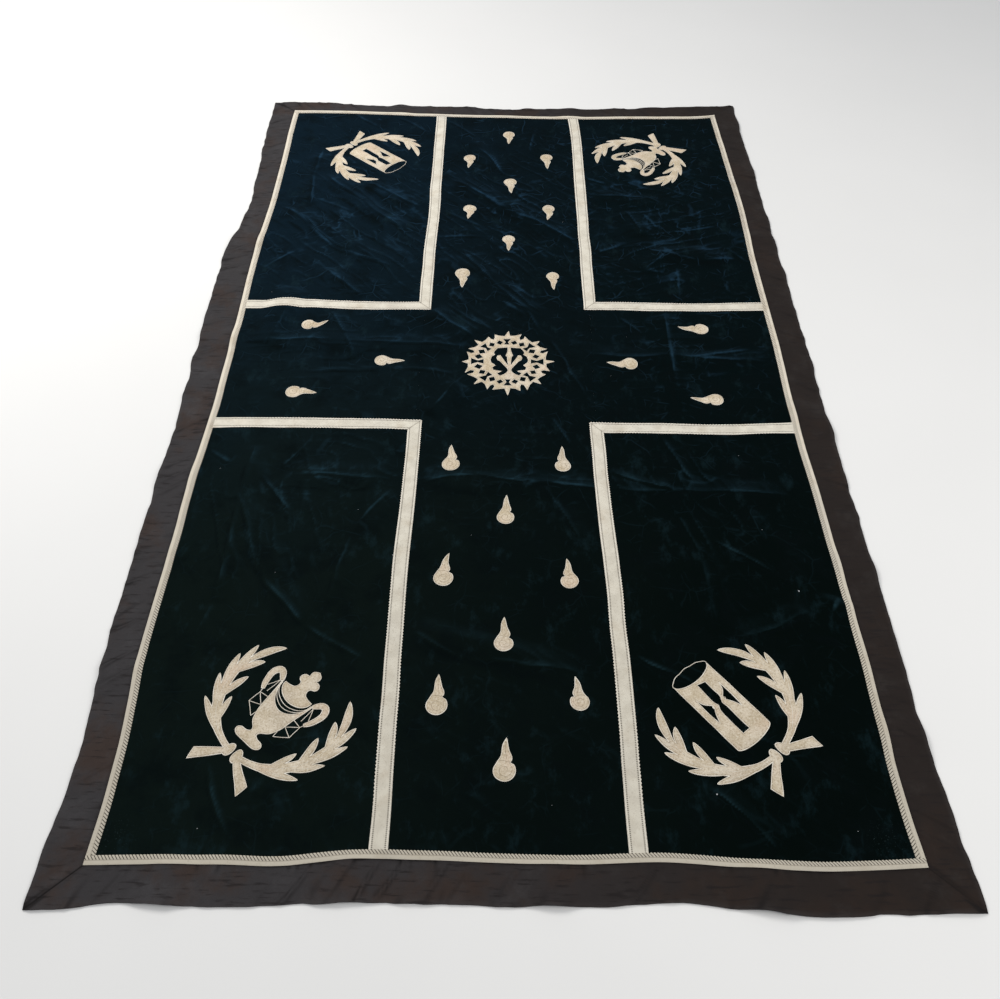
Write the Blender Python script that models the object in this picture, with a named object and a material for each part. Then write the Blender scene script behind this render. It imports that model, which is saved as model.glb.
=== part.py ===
"""Funeral pall, lying flat with its creases.

A field of three velvet widths, with a cotton border, a tape edging, a cross outlined in wide tape,
and cut cloth pieces sewn on: tears, a crown of thorns with nails, laurel wreaths, urns and hourglasses.
Metres. X runs across the pall, Y along it with the far end at +Y, and Z is up. The origin is on the
underside, below the middle of the cross.
"""

import math

import bmesh
import bpy
import numpy as np
from mathutils import Vector
from mathutils.geometry import tessellate_polygon

MM = 0.001

# Outline of the pall, as straight lines before the cloth's unevenness is added.
HEM_LEFT = -0.916
HEM_RIGHT = 0.892
HEM_NEAR = -1.528
HEM_FAR = 1.476
SEAM_LEFT = -0.828
SEAM_RIGHT = 0.812
SEAM_NEAR = -1.448
SEAM_FAR = 1.416
EDGING_WIDTH = 0.018

# Middle lines of the wide tapes that outline the cross. The velvet widths are seamed below the long ones.
CROSS_TAPE_WIDTH = 0.036
CROSS_LEFT = -0.254
CROSS_RIGHT = 0.256
CROSS_FAR = 0.254
CROSS_NEAR = -0.260

# Thicknesses, and the gap between pieces that lie on or beside each other.
VELVET_THICK = 2.0 * MM
BORDER_THICK = 1.2 * MM
TAPE_THICK = 1.0 * MM
CUT_CLOTH_THICK = 1.3 * MM
SEWN_GAP = 0.3 * MM

# Cells of the cloth across each panel and along each length.
PANEL_CELLS_SIDE = 7
PANEL_CELLS_CENTRE = 6
LENGTH_CELLS_END = 15
LENGTH_CELLS_CROSSING = 6

# Unevenness of the cloth's long lines: place of the line, then how far it strays to the right, in mm,
# at stations from the near end to the far end.
LONG_STATIONS = np.linspace(-1.50, 1.50, 13)
LONG_LINES = (
    (HEM_LEFT, (-4, 12, 2, 0, 0, 0, -6, -8, -10, 22, 14, 8, 2)),
    (SEAM_LEFT, (-2, 5, -8, -6, -6, 2, 2, 0, -4, 4, 4, 0, 0)),
    (CROSS_LEFT, (0, -2, -4, -6, -1, 0, 0, 0, 0, 4, 2, 3, 1)),
    (CROSS_RIGHT, (3, 2, 2, -1, -8, -10, -6, 1, 2, 2, 4, 5, -4)),
    (SEAM_RIGHT, (8, 0, 4, 0, -2, -8, -2, -2, -2, 6, 3, -2, -6)),
    (HEM_RIGHT, (18, 0, -2, 2, 0, -4, 0, 0, -2, -1, 0, -4, -2)),
)

# The same for the lines that run across: how far each strays to the far side, in mm, from left to right.
CROSS_STATIONS = np.linspace(-0.90, 0.90, 13)
CROSSWISE_LINES = (
    (HEM_NEAR, (-8, 6, 0, 0, 8, 6, 4, 0, 10, -4, -14, -12, -6)),
    (SEAM_NEAR, (-6, -4, -2, -4, 8, 8, 2, 0, 5, -4, -10, -6, 0)),
    (CROSS_NEAR, (9, 8, 9, 6, 4, 0, -2, -4, -8, -10, -13, -8, -6)),
    (CROSS_FAR, (5, 5, 9, 1, -1, 0, 0, 0, 1, -3, -5, -1, 0)),
    (SEAM_FAR, (28, 28, 24, 14, 4, -4, -8, -16, -18, -14, -14, -10, 16)),
    (HEM_FAR, (32, 30, 18, 4, 6, -2, -20, -16, -18, -14, -4, 0, 12)),
)

# Main creases: from x, y to x, y in metres, height in mm, and width in metres.
CREASES = (
    # far left panel
    (-0.654, 0.970, -0.340, 0.614, 8, 0.13),
    (-0.506, 0.938, -0.306, 0.778, 5, 0.12),
    (-0.780, 0.770, -0.374, 0.444, 6, 0.13),
    (-0.580, 0.430, -0.454, 0.290, 6, 0.12),
    (-0.700, 1.114, -0.686, 0.790, 5, 0.12),
    # left arm
    (-0.674, 0.340, -0.734, 0.064, 12, 0.14),
    (-0.794, 0.084, -0.126, 0.068, 6, 0.12),
    (-0.546, 0.218, -0.446, 0.004, 6, 0.12),
    # far arm
    (-0.234, 1.370, -0.006, 0.990, 5, 0.12),
    (-0.194, 0.964, 0.230, 0.596, 7, 0.13),
    (-0.140, 0.538, 0.090, 0.164, 6, 0.13),
    (-0.226, 0.240, -0.110, 0.104, 6, 0.12),
    # far right panel
    (0.294, 0.864, 0.526, 0.818, 6, 0.12),
    (0.466, 0.538, 0.740, 0.498, 8, 0.13),
    (0.394, 0.770, 0.454, 0.624, 5, 0.12),
    (0.434, 0.430, 0.540, 0.538, 5, 0.12),
    # right arm
    (0.226, 0.030, 0.774, 0.010, 5, 0.12),
    (0.490, 0.230, 0.494, -0.182, 6, 0.12),
    # near left panel
    (-0.574, -0.450, -0.306, -0.452, 6, 0.12),
    (-0.674, -0.342, -0.686, -0.850, 8, 0.13),
    (-0.680, -0.536, -0.474, -0.910, 7, 0.12),
    (-0.300, -0.490, -0.426, -0.850, 5, 0.12),
    # near arm
    (-0.130, -0.090, -0.226, -0.222, 6, 0.12),
    (-0.226, -0.462, 0.254, -0.482, 7, 0.12),
    (0.100, -0.482, 0.186, -0.670, 5, 0.12),
    (-0.234, -0.922, 0.160, -1.026, 7, 0.12),
    # near right panel
    (0.254, -0.482, 0.734, -0.496, 7, 0.12),
    (0.450, -0.306, 0.486, -0.916, 6, 0.13),
    (0.786, -0.816, 0.730, -0.946, 7, 0.12),
    (0.514, -0.942, 0.714, -0.860, 6, 0.12),
    (0.420, -1.296, 0.530, -1.416, 5, 0.12),
    # flutes of the border, each running out past its hem
    (-0.800, 0.560, -1.050, 0.600, 10, 0.15),
    (-0.800, 0.100, -1.050, 0.090, 6, 0.13),
    (-0.800, -0.450, -1.050, -0.450, 6, 0.13),
    (-0.800, -1.040, -1.050, -1.000, 5, 0.13),
    (0.790, -0.180, 1.020, -0.340, 7, 0.15),
    (0.790, -0.720, 1.020, -0.760, 6, 0.13),
    (0.790, -1.160, 1.020, -1.200, 7, 0.14),
    (0.790, 0.620, 1.020, 0.600, 4, 0.13),
    (-0.640, -1.420, -0.700, -1.640, 8, 0.14),
    (-0.300, -1.430, -0.340, -1.640, 6, 0.13),
    (0.100, -1.430, 0.060, -1.640, 6, 0.13),
    (0.480, -1.430, 0.500, -1.640, 9, 0.15),
    (-0.420, 1.410, -0.400, 1.600, 5, 0.14),
    (0.240, 1.390, 0.260, 1.580, 5, 0.14),
)
HIGHEST_CREASE = 13 * MM
CREASE_END = 0.18

# Tears: middle x, y, the way the tail points, in degrees, the side of its notch, how far its tip leans to that
# side as a part of the width, and length and width in mm.
TO_NEAR = -90
TO_FAR = 90
TO_RIGHT = 0
TO_LEFT = 180
TEARS = (
    (0.008, 1.244, TO_NEAR, 1, 0.00, 89, 42),
    (-0.136, 1.080, TO_NEAR, 1, -0.10, 87, 41),
    (0.146, 1.080, TO_NEAR, 1, 0.05, 99, 43),
    (0.012, 0.920, TO_NEAR, 1, 0.10, 93, 43),
    (-0.128, 0.760, TO_NEAR, 1, -0.10, 82, 43),
    (0.144, 0.754, TO_NEAR, 1, -0.15, 96, 40),
    (0.006, 0.580, TO_NEAR, 1, 0.00, 88, 41),
    (-0.142, 0.392, TO_NEAR, 1, 0.00, 96, 46),
    (0.146, 0.380, TO_NEAR, 1, 0.08, 92, 39),
    (-0.586, 0.162, TO_RIGHT, -1, -0.35, 84, 40),
    (-0.346, 0.002, TO_RIGHT, -1, 0.00, 91, 41),
    (-0.586, -0.130, TO_RIGHT, 1, -0.10, 89, 44),
    (0.564, 0.146, TO_LEFT, -1, 0.15, 93, 44),
    (0.338, -0.012, TO_LEFT, 1, -0.15, 92, 41),
    (0.566, -0.158, TO_LEFT, 1, -0.15, 94, 42),
    (-0.150, -0.382, TO_FAR, -1, 0.00, 94, 46),
    (0.148, -0.386, TO_FAR, 1, 0.00, 94, 40),
    (-0.004, -0.560, TO_FAR, -1, 0.06, 95, 42),
    (-0.154, -0.746, TO_FAR, -1, 0.26, 98, 45),
    (0.150, -0.758, TO_FAR, 1, 0.10, 90, 42),
    (-0.008, -0.930, TO_FAR, -1, 0.02, 98, 43),
    (-0.154, -1.082, TO_FAR, -1, 0.04, 99, 46),
    (0.158, -1.080, TO_FAR, 1, 0.18, 86, 41),
    (-0.006, -1.232, TO_FAR, -1, 0.12, 98, 46),
)
# Shape of a tear: part of the length from the round end, then half widths on its plain side and on its
# notched side as parts of the whole width, and how much of the lean has built up.
TEAR_SHAPE = (
    (0.02, 0.22, 0.22, 0.0),
    (0.10, 0.42, 0.42, 0.0),
    (0.23, 0.50, 0.50, 0.0),
    (0.36, 0.43, 0.41, 0.0),
    (0.43, 0.36, 0.25, 0.0),
    (0.53, 0.22, 0.33, 0.0),
    (0.64, 0.14, 0.26, 0.0),
    (0.76, 0.13, 0.16, 0.25),
    (0.88, 0.10, 0.09, 0.6),
)

# Corner emblems: name, middle x, y, the way from the knots to the open side in degrees, how far the urn or
# hourglass sits past the wreath's middle that way in mm, how far it is turned, and the turns of the two
# ribbon ends from straight outwards, in degrees.
EMBLEMS = (
    ("far_left", -0.469, 1.099, -40, -8, -2, 68, 60),
    ("far_right", 0.474, 1.074, -132, -14, -5, 66, 55),
    ("near_left", -0.486, -1.109, 50, 0, -1, 46, 58),
    ("near_right", 0.472, -1.110, 134, 7, -5, 53, 60),
)

# Laurel branches, along the wreath's circle from the knots.
WREATH_RADIUS = 0.146
OUTER_LEAF_ANGLES = (57, 77, 97, 112)
INNER_LEAF_ANGLES = (60, 87, 111)
# Outline of a leaf: degrees behind its tip, and distance from the wreath's middle in mm.
OUTER_LEAF = ((24, 158), (13, 168), (5, 174), (0, 175), (5, 165), (11, 156))
INNER_LEAF = ((16, 131), (8, 124), (0, 118), (3, 126), (9, 131))
TIP_LEAF = ((17, 157), (6, 152), (0, 143), (6, 140), (18, 140))
BRANCH_TIP_ANGLE = 133
STEM_HALF = 7 * MM
KNOT_APART = 11 * MM
# Ribbon ends, from the knot's middle: length, half width at the end, and how much longer the side by the
# other ribbon is. The fork with the stem lies further along the more the ribbon is turned.
RIBBON_LENGTH = 0.078
RIBBON_HALF = 12 * MM
RIBBON_SLANT = 6 * MM
RIBBON_FORK_OUT = 8 * MM
RIBBON_PLAIN_TURN = 56
RIBBON_FORK_ALONG = 25 * MM
RIBBON_FORK_STEP = 0.9 * MM
# Outline of a knot: along the circle and outwards from it, in mm.
KNOT_OUTLINE = ((12, -7), (6, -15), (-2, -17), (-7, -10), (-8, 4), (-4, 13), (3, 15))

# Crown of thorns with three nails.
CROWN_X = 0.001
CROWN_Y = -0.002
CROWN_RADIUS_OUT = 0.113
CROWN_RADIUS_IN = 0.060
CROWN_THORN_IN = 0.049
CROWN_THORN_IN_LONG = 0.046
# Where the inner edge leaves the crown for the slanting nails, in degrees.
CROWN_INSIDE_END = -74
CROWN_UNITS = 8
CROWN_THORNS_IN_A_SIDE = 5
# Outer thorns of one unit: degrees from its middle, and how far past the crown's outer radius, in mm.
CROWN_UNIT = (
    (-6, 2),
    (0, 25),
    (6, 2),
    (11.25, -2),
    (14.5, 15),
    (19.75, 2),
    (22.5, -6),
    (25.25, 2),
    (30.5, 15),
    (33.75, -2),
)
CROWN_MIDDLE_RADIUS = 0.087
CROWN_OPENING_LONG = 15 * MM
CROWN_OPENING_WIDE = 9 * MM
CROWN_OPENING_WAIST = 2.6 * MM
CROWN_GAP_SIZE = 6 * MM
CROWN_GAP_APART = 12
# Right side of the middle nail from its point up to the crown, and a slanting nail from its point
# round its head and back, in mm from the crown's middle.
NAIL_HALF = 4.5 * MM
MIDDLE_NAIL = ((4.5, -6), (4.5, 20), (8, 30), (4.5, 42), (4.5, 53))
SLANTING_NAIL = ((5, -38), (7, -28), (30, 10), (37, 20), (35, 29), (27, 29), (23, 18), (5, -15))

# Hourglass, along its axis from the middle of its rim.
HOURGLASS_WIDTH = 0.102
HOURGLASS_LENGTH = 0.186
HOURGLASS_RIM_DEPTH = 0.019
HOURGLASS_FOOT_BULGE = 0.014
HOURGLASS_SLOT = (0.040, 0.182)
HOURGLASS_SLOT_HALF = 8 * MM
HOURGLASS_SLOT_WAIST = 6.5 * MM
HOURGLASS_RIM_FROM_MIDDLE = 0.094

# Side cut of the hourglass: along the axis from the rim and out from the axis, in mm.
HOURGLASS_SIDE_CUT = ((72, 33), (108, 31), (142, 34), (122, 25), (112, 14), (98, 13), (88, 24))

# Urn in its emblem: half widths on the way up from the foot, in mm.
URN_FOOT = ((-112, 20), (-108, 33), (-101, 37), (-94, 33), (-91, 18))
URN_BODY_SIDE = ((-86, 8), (-78, 10), (-66, 26), (-50, 34), (-38, 38), (-4, 43), (38, 50))
URN_SCOOP_DEPTH = 0.055
URN_SHOULDER_HIGH = 0.040
URN_SHOULDER_HALF = 0.049
LID_BOTTOM = 10 * MM
LID_SHOULDER = 0.040
LID_HALF = 0.042
LID_SIDE = ((41, 30), (45, 18), (54, 13), (62, 15), (66, 23), (74, 26), (82, 21), (84, 10), (88, 11), (97, 11))
LID_TOP = 0.104
HANDLE_WIDTH = 10 * MM
# Middle line of a handle: out from the urn's axis and along it, in mm.
HANDLE_LINE = ((58, 44), (64, 52), (74, 53), (81, 44), (82, 30), (76, 10), (68, -4))

BLACK_VELVET = (0.004, 0.007, 0.010)
BORDER_BROWN = (0.040, 0.033, 0.031)
CREAM_TAPE = (0.66, 0.60, 0.50)
CREAM_CLOTH = (0.62, 0.53, 0.40)


def clear_scene():
    for item in list(bpy.data.objects):
        bpy.data.objects.remove(item, do_unlink=True)


def make_material(name, colour, roughness):
    material = bpy.data.materials.new(name)
    material.use_nodes = True
    shader = material.node_tree.nodes["Principled BSDF"]
    shader.inputs["Base Color"].default_value = (*colour, 1.0)
    shader.inputs["Roughness"].default_value = roughness
    shader.inputs["Metallic"].default_value = 0.0
    return material


def cells(start, end, count):
    return list(np.linspace(start, end, count + 1))


def column_lines():
    half = CROSS_TAPE_WIDTH / 2
    lines = [HEM_LEFT, SEAM_LEFT]
    lines += cells(SEAM_LEFT + EDGING_WIDTH, CROSS_LEFT - half, PANEL_CELLS_SIDE)
    lines += [CROSS_LEFT]
    lines += cells(CROSS_LEFT + half, CROSS_RIGHT - half, PANEL_CELLS_CENTRE)
    lines += [CROSS_RIGHT]
    lines += cells(CROSS_RIGHT + half, SEAM_RIGHT - EDGING_WIDTH, PANEL_CELLS_SIDE)
    lines += [SEAM_RIGHT, HEM_RIGHT]
    return lines


def row_lines():
    half = CROSS_TAPE_WIDTH / 2
    lines = [HEM_NEAR, SEAM_NEAR]
    lines += cells(SEAM_NEAR + EDGING_WIDTH, CROSS_NEAR - half, LENGTH_CELLS_END)
    lines += cells(CROSS_NEAR + half, CROSS_FAR - half, LENGTH_CELLS_CROSSING)
    lines += cells(CROSS_FAR + half, SEAM_FAR - EDGING_WIDTH, LENGTH_CELLS_END)
    lines += [SEAM_FAR, HEM_FAR]
    return lines


COLUMNS = column_lines()
ROWS = row_lines()


def crease_height(x, y, crease):
    start_x, start_y, end_x, end_y, height, width = crease
    along_x = end_x - start_x
    along_y = end_y - start_y
    length = math.hypot(along_x, along_y)
    part = ((x - start_x) * along_x + (y - start_y) * along_y) / length**2
    aside = abs((x - start_x) * along_y - (y - start_y) * along_x) / length
    if part <= 0 or part >= 1 or aside >= width / 2:
        return 0.0
    fade = min(1.0, part / CREASE_END, (1 - part) / CREASE_END)
    across = math.cos(math.pi * aside / width) ** 2
    return height * MM * across * math.sin(math.pi / 2 * fade)


def relief(x, y):
    """Height of the cloth's underside above the surface it lies on."""
    total = sum(crease_height(x, y, crease) for crease in CREASES)
    return min(total, HIGHEST_CREASE)


HEIGHTS = [[relief(x, y) for y in ROWS] for x in COLUMNS]


def leans_right(i, j):
    """Whether a cell is split from its near left corner to its far right one, so that corners mitre."""
    middle_x = COLUMNS[i] + COLUMNS[i + 1]
    middle_y = ROWS[j] + ROWS[j + 1]
    return middle_x * middle_y > 0


def cell_of(place, lines):
    return int(np.clip(np.searchsorted(lines, place, side="right") - 1, 0, len(lines) - 2))


def surface_at(x, y):
    """Height on the split cells, so that what lies on the cloth meets its flat triangles, and the slopes."""
    i = cell_of(x, COLUMNS)
    j = cell_of(y, ROWS)
    wide = COLUMNS[i + 1] - COLUMNS[i]
    deep = ROWS[j + 1] - ROWS[j]
    s = (x - COLUMNS[i]) / wide
    t = (y - ROWS[j]) / deep
    z00 = HEIGHTS[i][j]
    z10 = HEIGHTS[i + 1][j]
    z01 = HEIGHTS[i][j + 1]
    z11 = HEIGHTS[i + 1][j + 1]
    base = z00
    if leans_right(i, j):
        rise_x, rise_y = (z10 - z00, z11 - z10) if s > t else (z11 - z01, z01 - z00)
    elif s + t < 1:
        rise_x, rise_y = z10 - z00, z01 - z00
    else:
        base = z01 + z10 - z11
        rise_x, rise_y = z11 - z01, z11 - z10
    return base + rise_x * s + rise_y * t, (rise_x / wide, rise_y / deep)


def smooth_value(stations, values, place):
    """Catmull-Rom curve through a row of values."""
    last = len(values) - 1
    part = (place - stations[0]) / (stations[1] - stations[0])
    part = min(max(part, 0.0), last - 1e-9)
    index = int(part)
    t = part - index
    before = values[max(index - 1, 0)]
    start = values[index]
    end = values[index + 1]
    after = values[min(index + 2, last)]
    slope = (end - before) * t
    bend = (2 * before - 5 * start + 4 * end - after) * t**2
    twist = (3 * start - before - 3 * end + after) * t**3
    return 0.5 * (2 * start + slope + bend + twist)


def stray(x, y):
    """How far the uneven cloth lies from the straight plan."""
    long_places = [row[0] for row in LONG_LINES]
    long_values = [smooth_value(LONG_STATIONS, row[1], y) for row in LONG_LINES]
    cross_places = [row[0] for row in CROSSWISE_LINES]
    cross_values = [smooth_value(CROSS_STATIONS, row[1], x) for row in CROSSWISE_LINES]
    return (
        float(np.interp(x, long_places, long_values)) * MM,
        float(np.interp(y, cross_places, cross_values)) * MM,
    )


def planned(x, y):
    """Place in the straight plan of a point given where it lies."""
    plan_x, plan_y = x, y
    for _ in range(3):
        move_x, move_y = stray(plan_x, plan_y)
        plan_x = x - move_x
        plan_y = y - move_y
    return plan_x, plan_y


def thicken(mesh, low, high):
    """Turn a single skin into a closed sheet between two heights above it."""
    top_verts = list(mesh.verts)
    top_faces = list(mesh.faces)
    rim = [edge for edge in mesh.edges if len(edge.link_faces) == 1]
    lower = {vert: mesh.verts.new((vert.co.x, vert.co.y, vert.co.z + low)) for vert in top_verts}
    for face in top_faces:
        mesh.faces.new([lower[vert] for vert in reversed(face.verts)])
    for edge in rim:
        loop = edge.link_loops[0]
        first = loop.vert
        second = loop.link_loop_next.vert
        mesh.faces.new((second, first, lower[first], lower[second]))
    for vert in top_verts:
        vert.co.z += high


def finish_piece(name, mesh, low, high, material):
    """Thicken a skin, add the cloth's unevenness, and make the object."""
    bmesh.ops.triangulate(mesh, faces=list(mesh.faces))
    bmesh.ops.recalc_face_normals(mesh, faces=list(mesh.faces))
    if sum(face.normal.z * face.calc_area() for face in mesh.faces) < 0:
        bmesh.ops.reverse_faces(mesh, faces=list(mesh.faces))
    thicken(mesh, low, high)
    for vert in mesh.verts:
        move_x, move_y = stray(vert.co.x, vert.co.y)
        vert.co.x += move_x
        vert.co.y += move_y
    bmesh.ops.triangulate(mesh, faces=list(mesh.faces))
    data = bpy.data.meshes.new(name)
    mesh.to_mesh(data)
    mesh.free()
    data.materials.append(material)
    piece = bpy.data.objects.new(name, data)
    bpy.context.scene.collection.objects.link(piece)
    return piece


def inward_step(vert, amount):
    """Step that moves a rim point inside its skin by an amount from both its rim edges."""
    normals = []
    for edge in vert.link_edges:
        if len(edge.link_faces) != 1:
            continue
        loop = edge.link_loops[0]
        along = (loop.link_loop_next.vert.co - loop.vert.co).normalized()
        normals.append(Vector((-along.y, along.x, 0)))
    if len(normals) != 2:
        return Vector((0, 0, 0))
    return (normals[0] + normals[1]) * amount / (1 + normals[0].dot(normals[1]))


def panel_piece(name, keep, low, high, material):
    """Sheet made of the cloth's cells whose triangles' middles pass a test."""
    mesh = bmesh.new()
    verts = {}

    def corner(i, j):
        if (i, j) not in verts:
            verts[(i, j)] = mesh.verts.new((COLUMNS[i], ROWS[j], HEIGHTS[i][j]))
        return verts[(i, j)]

    for i in range(len(COLUMNS) - 1):
        for j in range(len(ROWS) - 1):
            near_left, near_right, far_right, far_left = (i, j), (i + 1, j), (i + 1, j + 1), (i, j + 1)
            if leans_right(i, j):
                pair = ((near_left, near_right, far_right), (near_left, far_right, far_left))
            else:
                pair = ((near_left, near_right, far_left), (near_right, far_right, far_left))
            for triangle in pair:
                x = sum(COLUMNS[a] for a, _ in triangle) / 3
                y = sum(ROWS[b] for _, b in triangle) / 3
                if keep(x, y):
                    mesh.faces.new([corner(a, b) for a, b in triangle])
    steps = [(vert, inward_step(vert, SEWN_GAP / 2)) for vert in mesh.verts]
    for vert, step in steps:
        vert.co += step
    return finish_piece(name, mesh, low, high, material)


def split_along(mesh, faces, point, normal):
    """Cut some of a flat skin's faces along a line."""
    geometry = set(faces)
    for face in faces:
        geometry.update(face.edges)
        geometry.update(face.verts)
    across = Vector(normal).normalized()
    bmesh.ops.bisect_plane(mesh, geom=list(geometry), dist=0.1 * MM, plane_co=point, plane_no=across)


def split_on_cells(mesh):
    """Cut a flat skin along the cloth's cell lines and, where a cell is bent, along its diagonal."""
    xs = [vert.co.x for vert in mesh.verts]
    ys = [vert.co.y for vert in mesh.verts]
    for column in COLUMNS:
        if min(xs) < column < max(xs):
            split_along(mesh, list(mesh.faces), (column, 0, 0), (1, 0, 0))
    for row in ROWS:
        if min(ys) < row < max(ys):
            split_along(mesh, list(mesh.faces), (0, row, 0), (0, 1, 0))
    groups = {}
    for face in mesh.faces:
        middle = face.calc_center_median()
        groups.setdefault((cell_of(middle.x, COLUMNS), cell_of(middle.y, ROWS)), []).append(face)
    for (i, j), faces in groups.items():
        wide = COLUMNS[i + 1] - COLUMNS[i]
        deep = ROWS[j + 1] - ROWS[j]
        if leans_right(i, j):
            split_along(mesh, faces, (COLUMNS[i], ROWS[j], 0), (-deep, wide, 0))
        else:
            split_along(mesh, faces, (COLUMNS[i + 1], ROWS[j], 0), (deep, wide, 0))


def mark_bends(mesh):
    """Mark the edges of a split skin at which the cloth below bends."""
    for edge in mesh.edges:
        slopes = set()
        for face in edge.link_faces:
            middle = face.calc_center_median()
            slope_x, slope_y = surface_at(middle.x, middle.y)[1]
            slopes.add((round(slope_x, 5), round(slope_y, 5)))
        edge.seam = len(slopes) > 1


def join_straight_edges(mesh):
    """Remove the points that only split a line shared by two faces."""
    for vert in list(mesh.verts):
        if len(vert.link_edges) == 2 and not vert.is_boundary:
            bmesh.utils.vert_collapse_edge(vert, vert.link_edges[0])


def cut_piece(name, loops, material):
    """Cloth cut to an outline, with any holes after it, sewn on top of the velvet."""
    mesh = bmesh.new()
    points = [planned(x, y) for loop in loops for x, y in loop]
    verts = [mesh.verts.new((x, y, 0)) for x, y in points]
    flat_loops = [[Vector((x, y, 0)) for x, y in loop] for loop in loops]
    for triangle in tessellate_polygon(flat_loops):
        mesh.faces.new([verts[index] for index in triangle])
    split_on_cells(mesh)
    bmesh.ops.remove_doubles(mesh, verts=list(mesh.verts), dist=0.05 * MM)
    mark_bends(mesh)
    for vert in mesh.verts:
        vert.co.z = surface_at(vert.co.x, vert.co.y)[0]
    bmesh.ops.dissolve_limit(
        mesh,
        angle_limit=math.radians(0.5),
        verts=list(mesh.verts),
        edges=list(mesh.edges),
        delimit={"SEAM"},
    )
    join_straight_edges(mesh)
    low = VELVET_THICK + SEWN_GAP
    return finish_piece(name, mesh, low, low + CUT_CLOTH_THICK, material)


def turned(points, x, y, degrees):
    """Outline given along +X, turned and moved to its place."""
    cos = math.cos(math.radians(degrees))
    sin = math.sin(math.radians(degrees))
    return [(x + a * cos - b * sin, y + a * sin + b * cos) for a, b in points]


def make_velvet():
    widths = (
        ("velvet_left", SEAM_LEFT, CROSS_LEFT),
        ("velvet_centre", CROSS_LEFT, CROSS_RIGHT),
        ("velvet_right", CROSS_RIGHT, SEAM_RIGHT),
    )
    for name, left, right in widths:
        def keep(x, y, left=left, right=right):
            return left < x < right and SEAM_NEAR < y < SEAM_FAR

        panel_piece(name, keep, 0.0, VELVET_THICK, make_material(name, BLACK_VELVET, 0.85))


def beyond_seam(x, y):
    """How far a point lies past each seam, as a part of the border's width there."""
    return {
        "left": (SEAM_LEFT - x) / (SEAM_LEFT - HEM_LEFT),
        "right": (x - SEAM_RIGHT) / (HEM_RIGHT - SEAM_RIGHT),
        "near": (SEAM_NEAR - y) / (SEAM_NEAR - HEM_NEAR),
        "far": (y - SEAM_FAR) / (HEM_FAR - SEAM_FAR),
    }


def make_border():
    for side in ("left", "right", "near", "far"):
        def keep(x, y, side=side):
            parts = beyond_seam(x, y)
            return parts[side] > 0 and parts[side] == max(parts.values())

        name = "border_" + side
        panel_piece(name, keep, 0.0, BORDER_THICK, make_material(name, BORDER_BROWN, 0.8))


def make_edging():
    low = VELVET_THICK + SEWN_GAP
    inner_near = SEAM_NEAR + EDGING_WIDTH
    inner_far = SEAM_FAR - EDGING_WIDTH
    strips = (
        ("left", SEAM_LEFT, SEAM_LEFT + EDGING_WIDTH, inner_near, inner_far),
        ("right", SEAM_RIGHT - EDGING_WIDTH, SEAM_RIGHT, inner_near, inner_far),
        ("near", SEAM_LEFT, SEAM_RIGHT, SEAM_NEAR, inner_near),
        ("far", SEAM_LEFT, SEAM_RIGHT, inner_far, SEAM_FAR),
    )
    for side, left, right, near, far in strips:
        def keep(x, y, box=(left, right, near, far)):
            return box[0] < x < box[1] and box[2] < y < box[3]

        name = "edging_" + side
        panel_piece(name, keep, low, low + TAPE_THICK, make_material(name, CREAM_TAPE, 0.75))


def make_cross():
    low = VELVET_THICK + SEWN_GAP
    half = CROSS_TAPE_WIDTH / 2
    inner_left = SEAM_LEFT + EDGING_WIDTH
    inner_right = SEAM_RIGHT - EDGING_WIDTH
    inner_near = SEAM_NEAR + EDGING_WIDTH
    inner_far = SEAM_FAR - EDGING_WIDTH
    for side, long_x, x_low, x_high in (
        ("left", CROSS_LEFT, inner_left, CROSS_LEFT + half),
        ("right", CROSS_RIGHT, CROSS_RIGHT - half, inner_right),
    ):
        for end, cross_y, y_low, y_high in (
            ("far", CROSS_FAR, CROSS_FAR - half, inner_far),
            ("near", CROSS_NEAR, inner_near, CROSS_NEAR + half),
        ):
            def keep(x, y, long_x=long_x, cross_y=cross_y, box=(x_low, x_high, y_low, y_high)):
                inside = box[0] < x < box[1] and box[2] < y < box[3]
                return inside and (abs(x - long_x) < half or abs(y - cross_y) < half)

            name = "cross_" + end + "_" + side
            panel_piece(name, keep, low, low + TAPE_THICK, make_material(name, CREAM_TAPE, 0.75))


def tear_outline(hand, lean, length, width):
    """A round drop whose tail narrows and leans, pointing along +X, with its middle at the origin."""
    start = -length / 2
    plain_side = [(start, 0.0)]
    notched_side = []
    for part, plain_half, notched_half, bend in TEAR_SHAPE:
        x = start + part * length
        aside = hand * lean * bend * width
        plain_side.append((x, aside - hand * plain_half * width))
        notched_side.append((x, aside + hand * notched_half * width))
    tip = [(start + length, hand * lean * width)]
    return plain_side + tip + notched_side[::-1]


def make_tears():
    for number, (x, y, way, hand, lean, length, width) in enumerate(TEARS, start=1):
        name = "tear_%02d" % number
        outline = turned(tear_outline(hand, lean, length * MM, width * MM), x, y, way)
        cut_piece(name, [outline], make_material(name, CREAM_CLOTH, 0.8))


def on_circle(degrees, radius, hand):
    """Point of an emblem whose open side is at +Y, from its angle past the knots."""
    angle = math.radians(-90 - hand * degrees)
    return radius * math.cos(angle), radius * math.sin(angle)


def near_knot(along, out, hand):
    """Point from its distance along the wreath's circle and outwards from it."""
    degrees = math.degrees((along + KNOT_APART) / WREATH_RADIUS)
    return on_circle(degrees, WREATH_RADIUS + out, hand)


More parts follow.
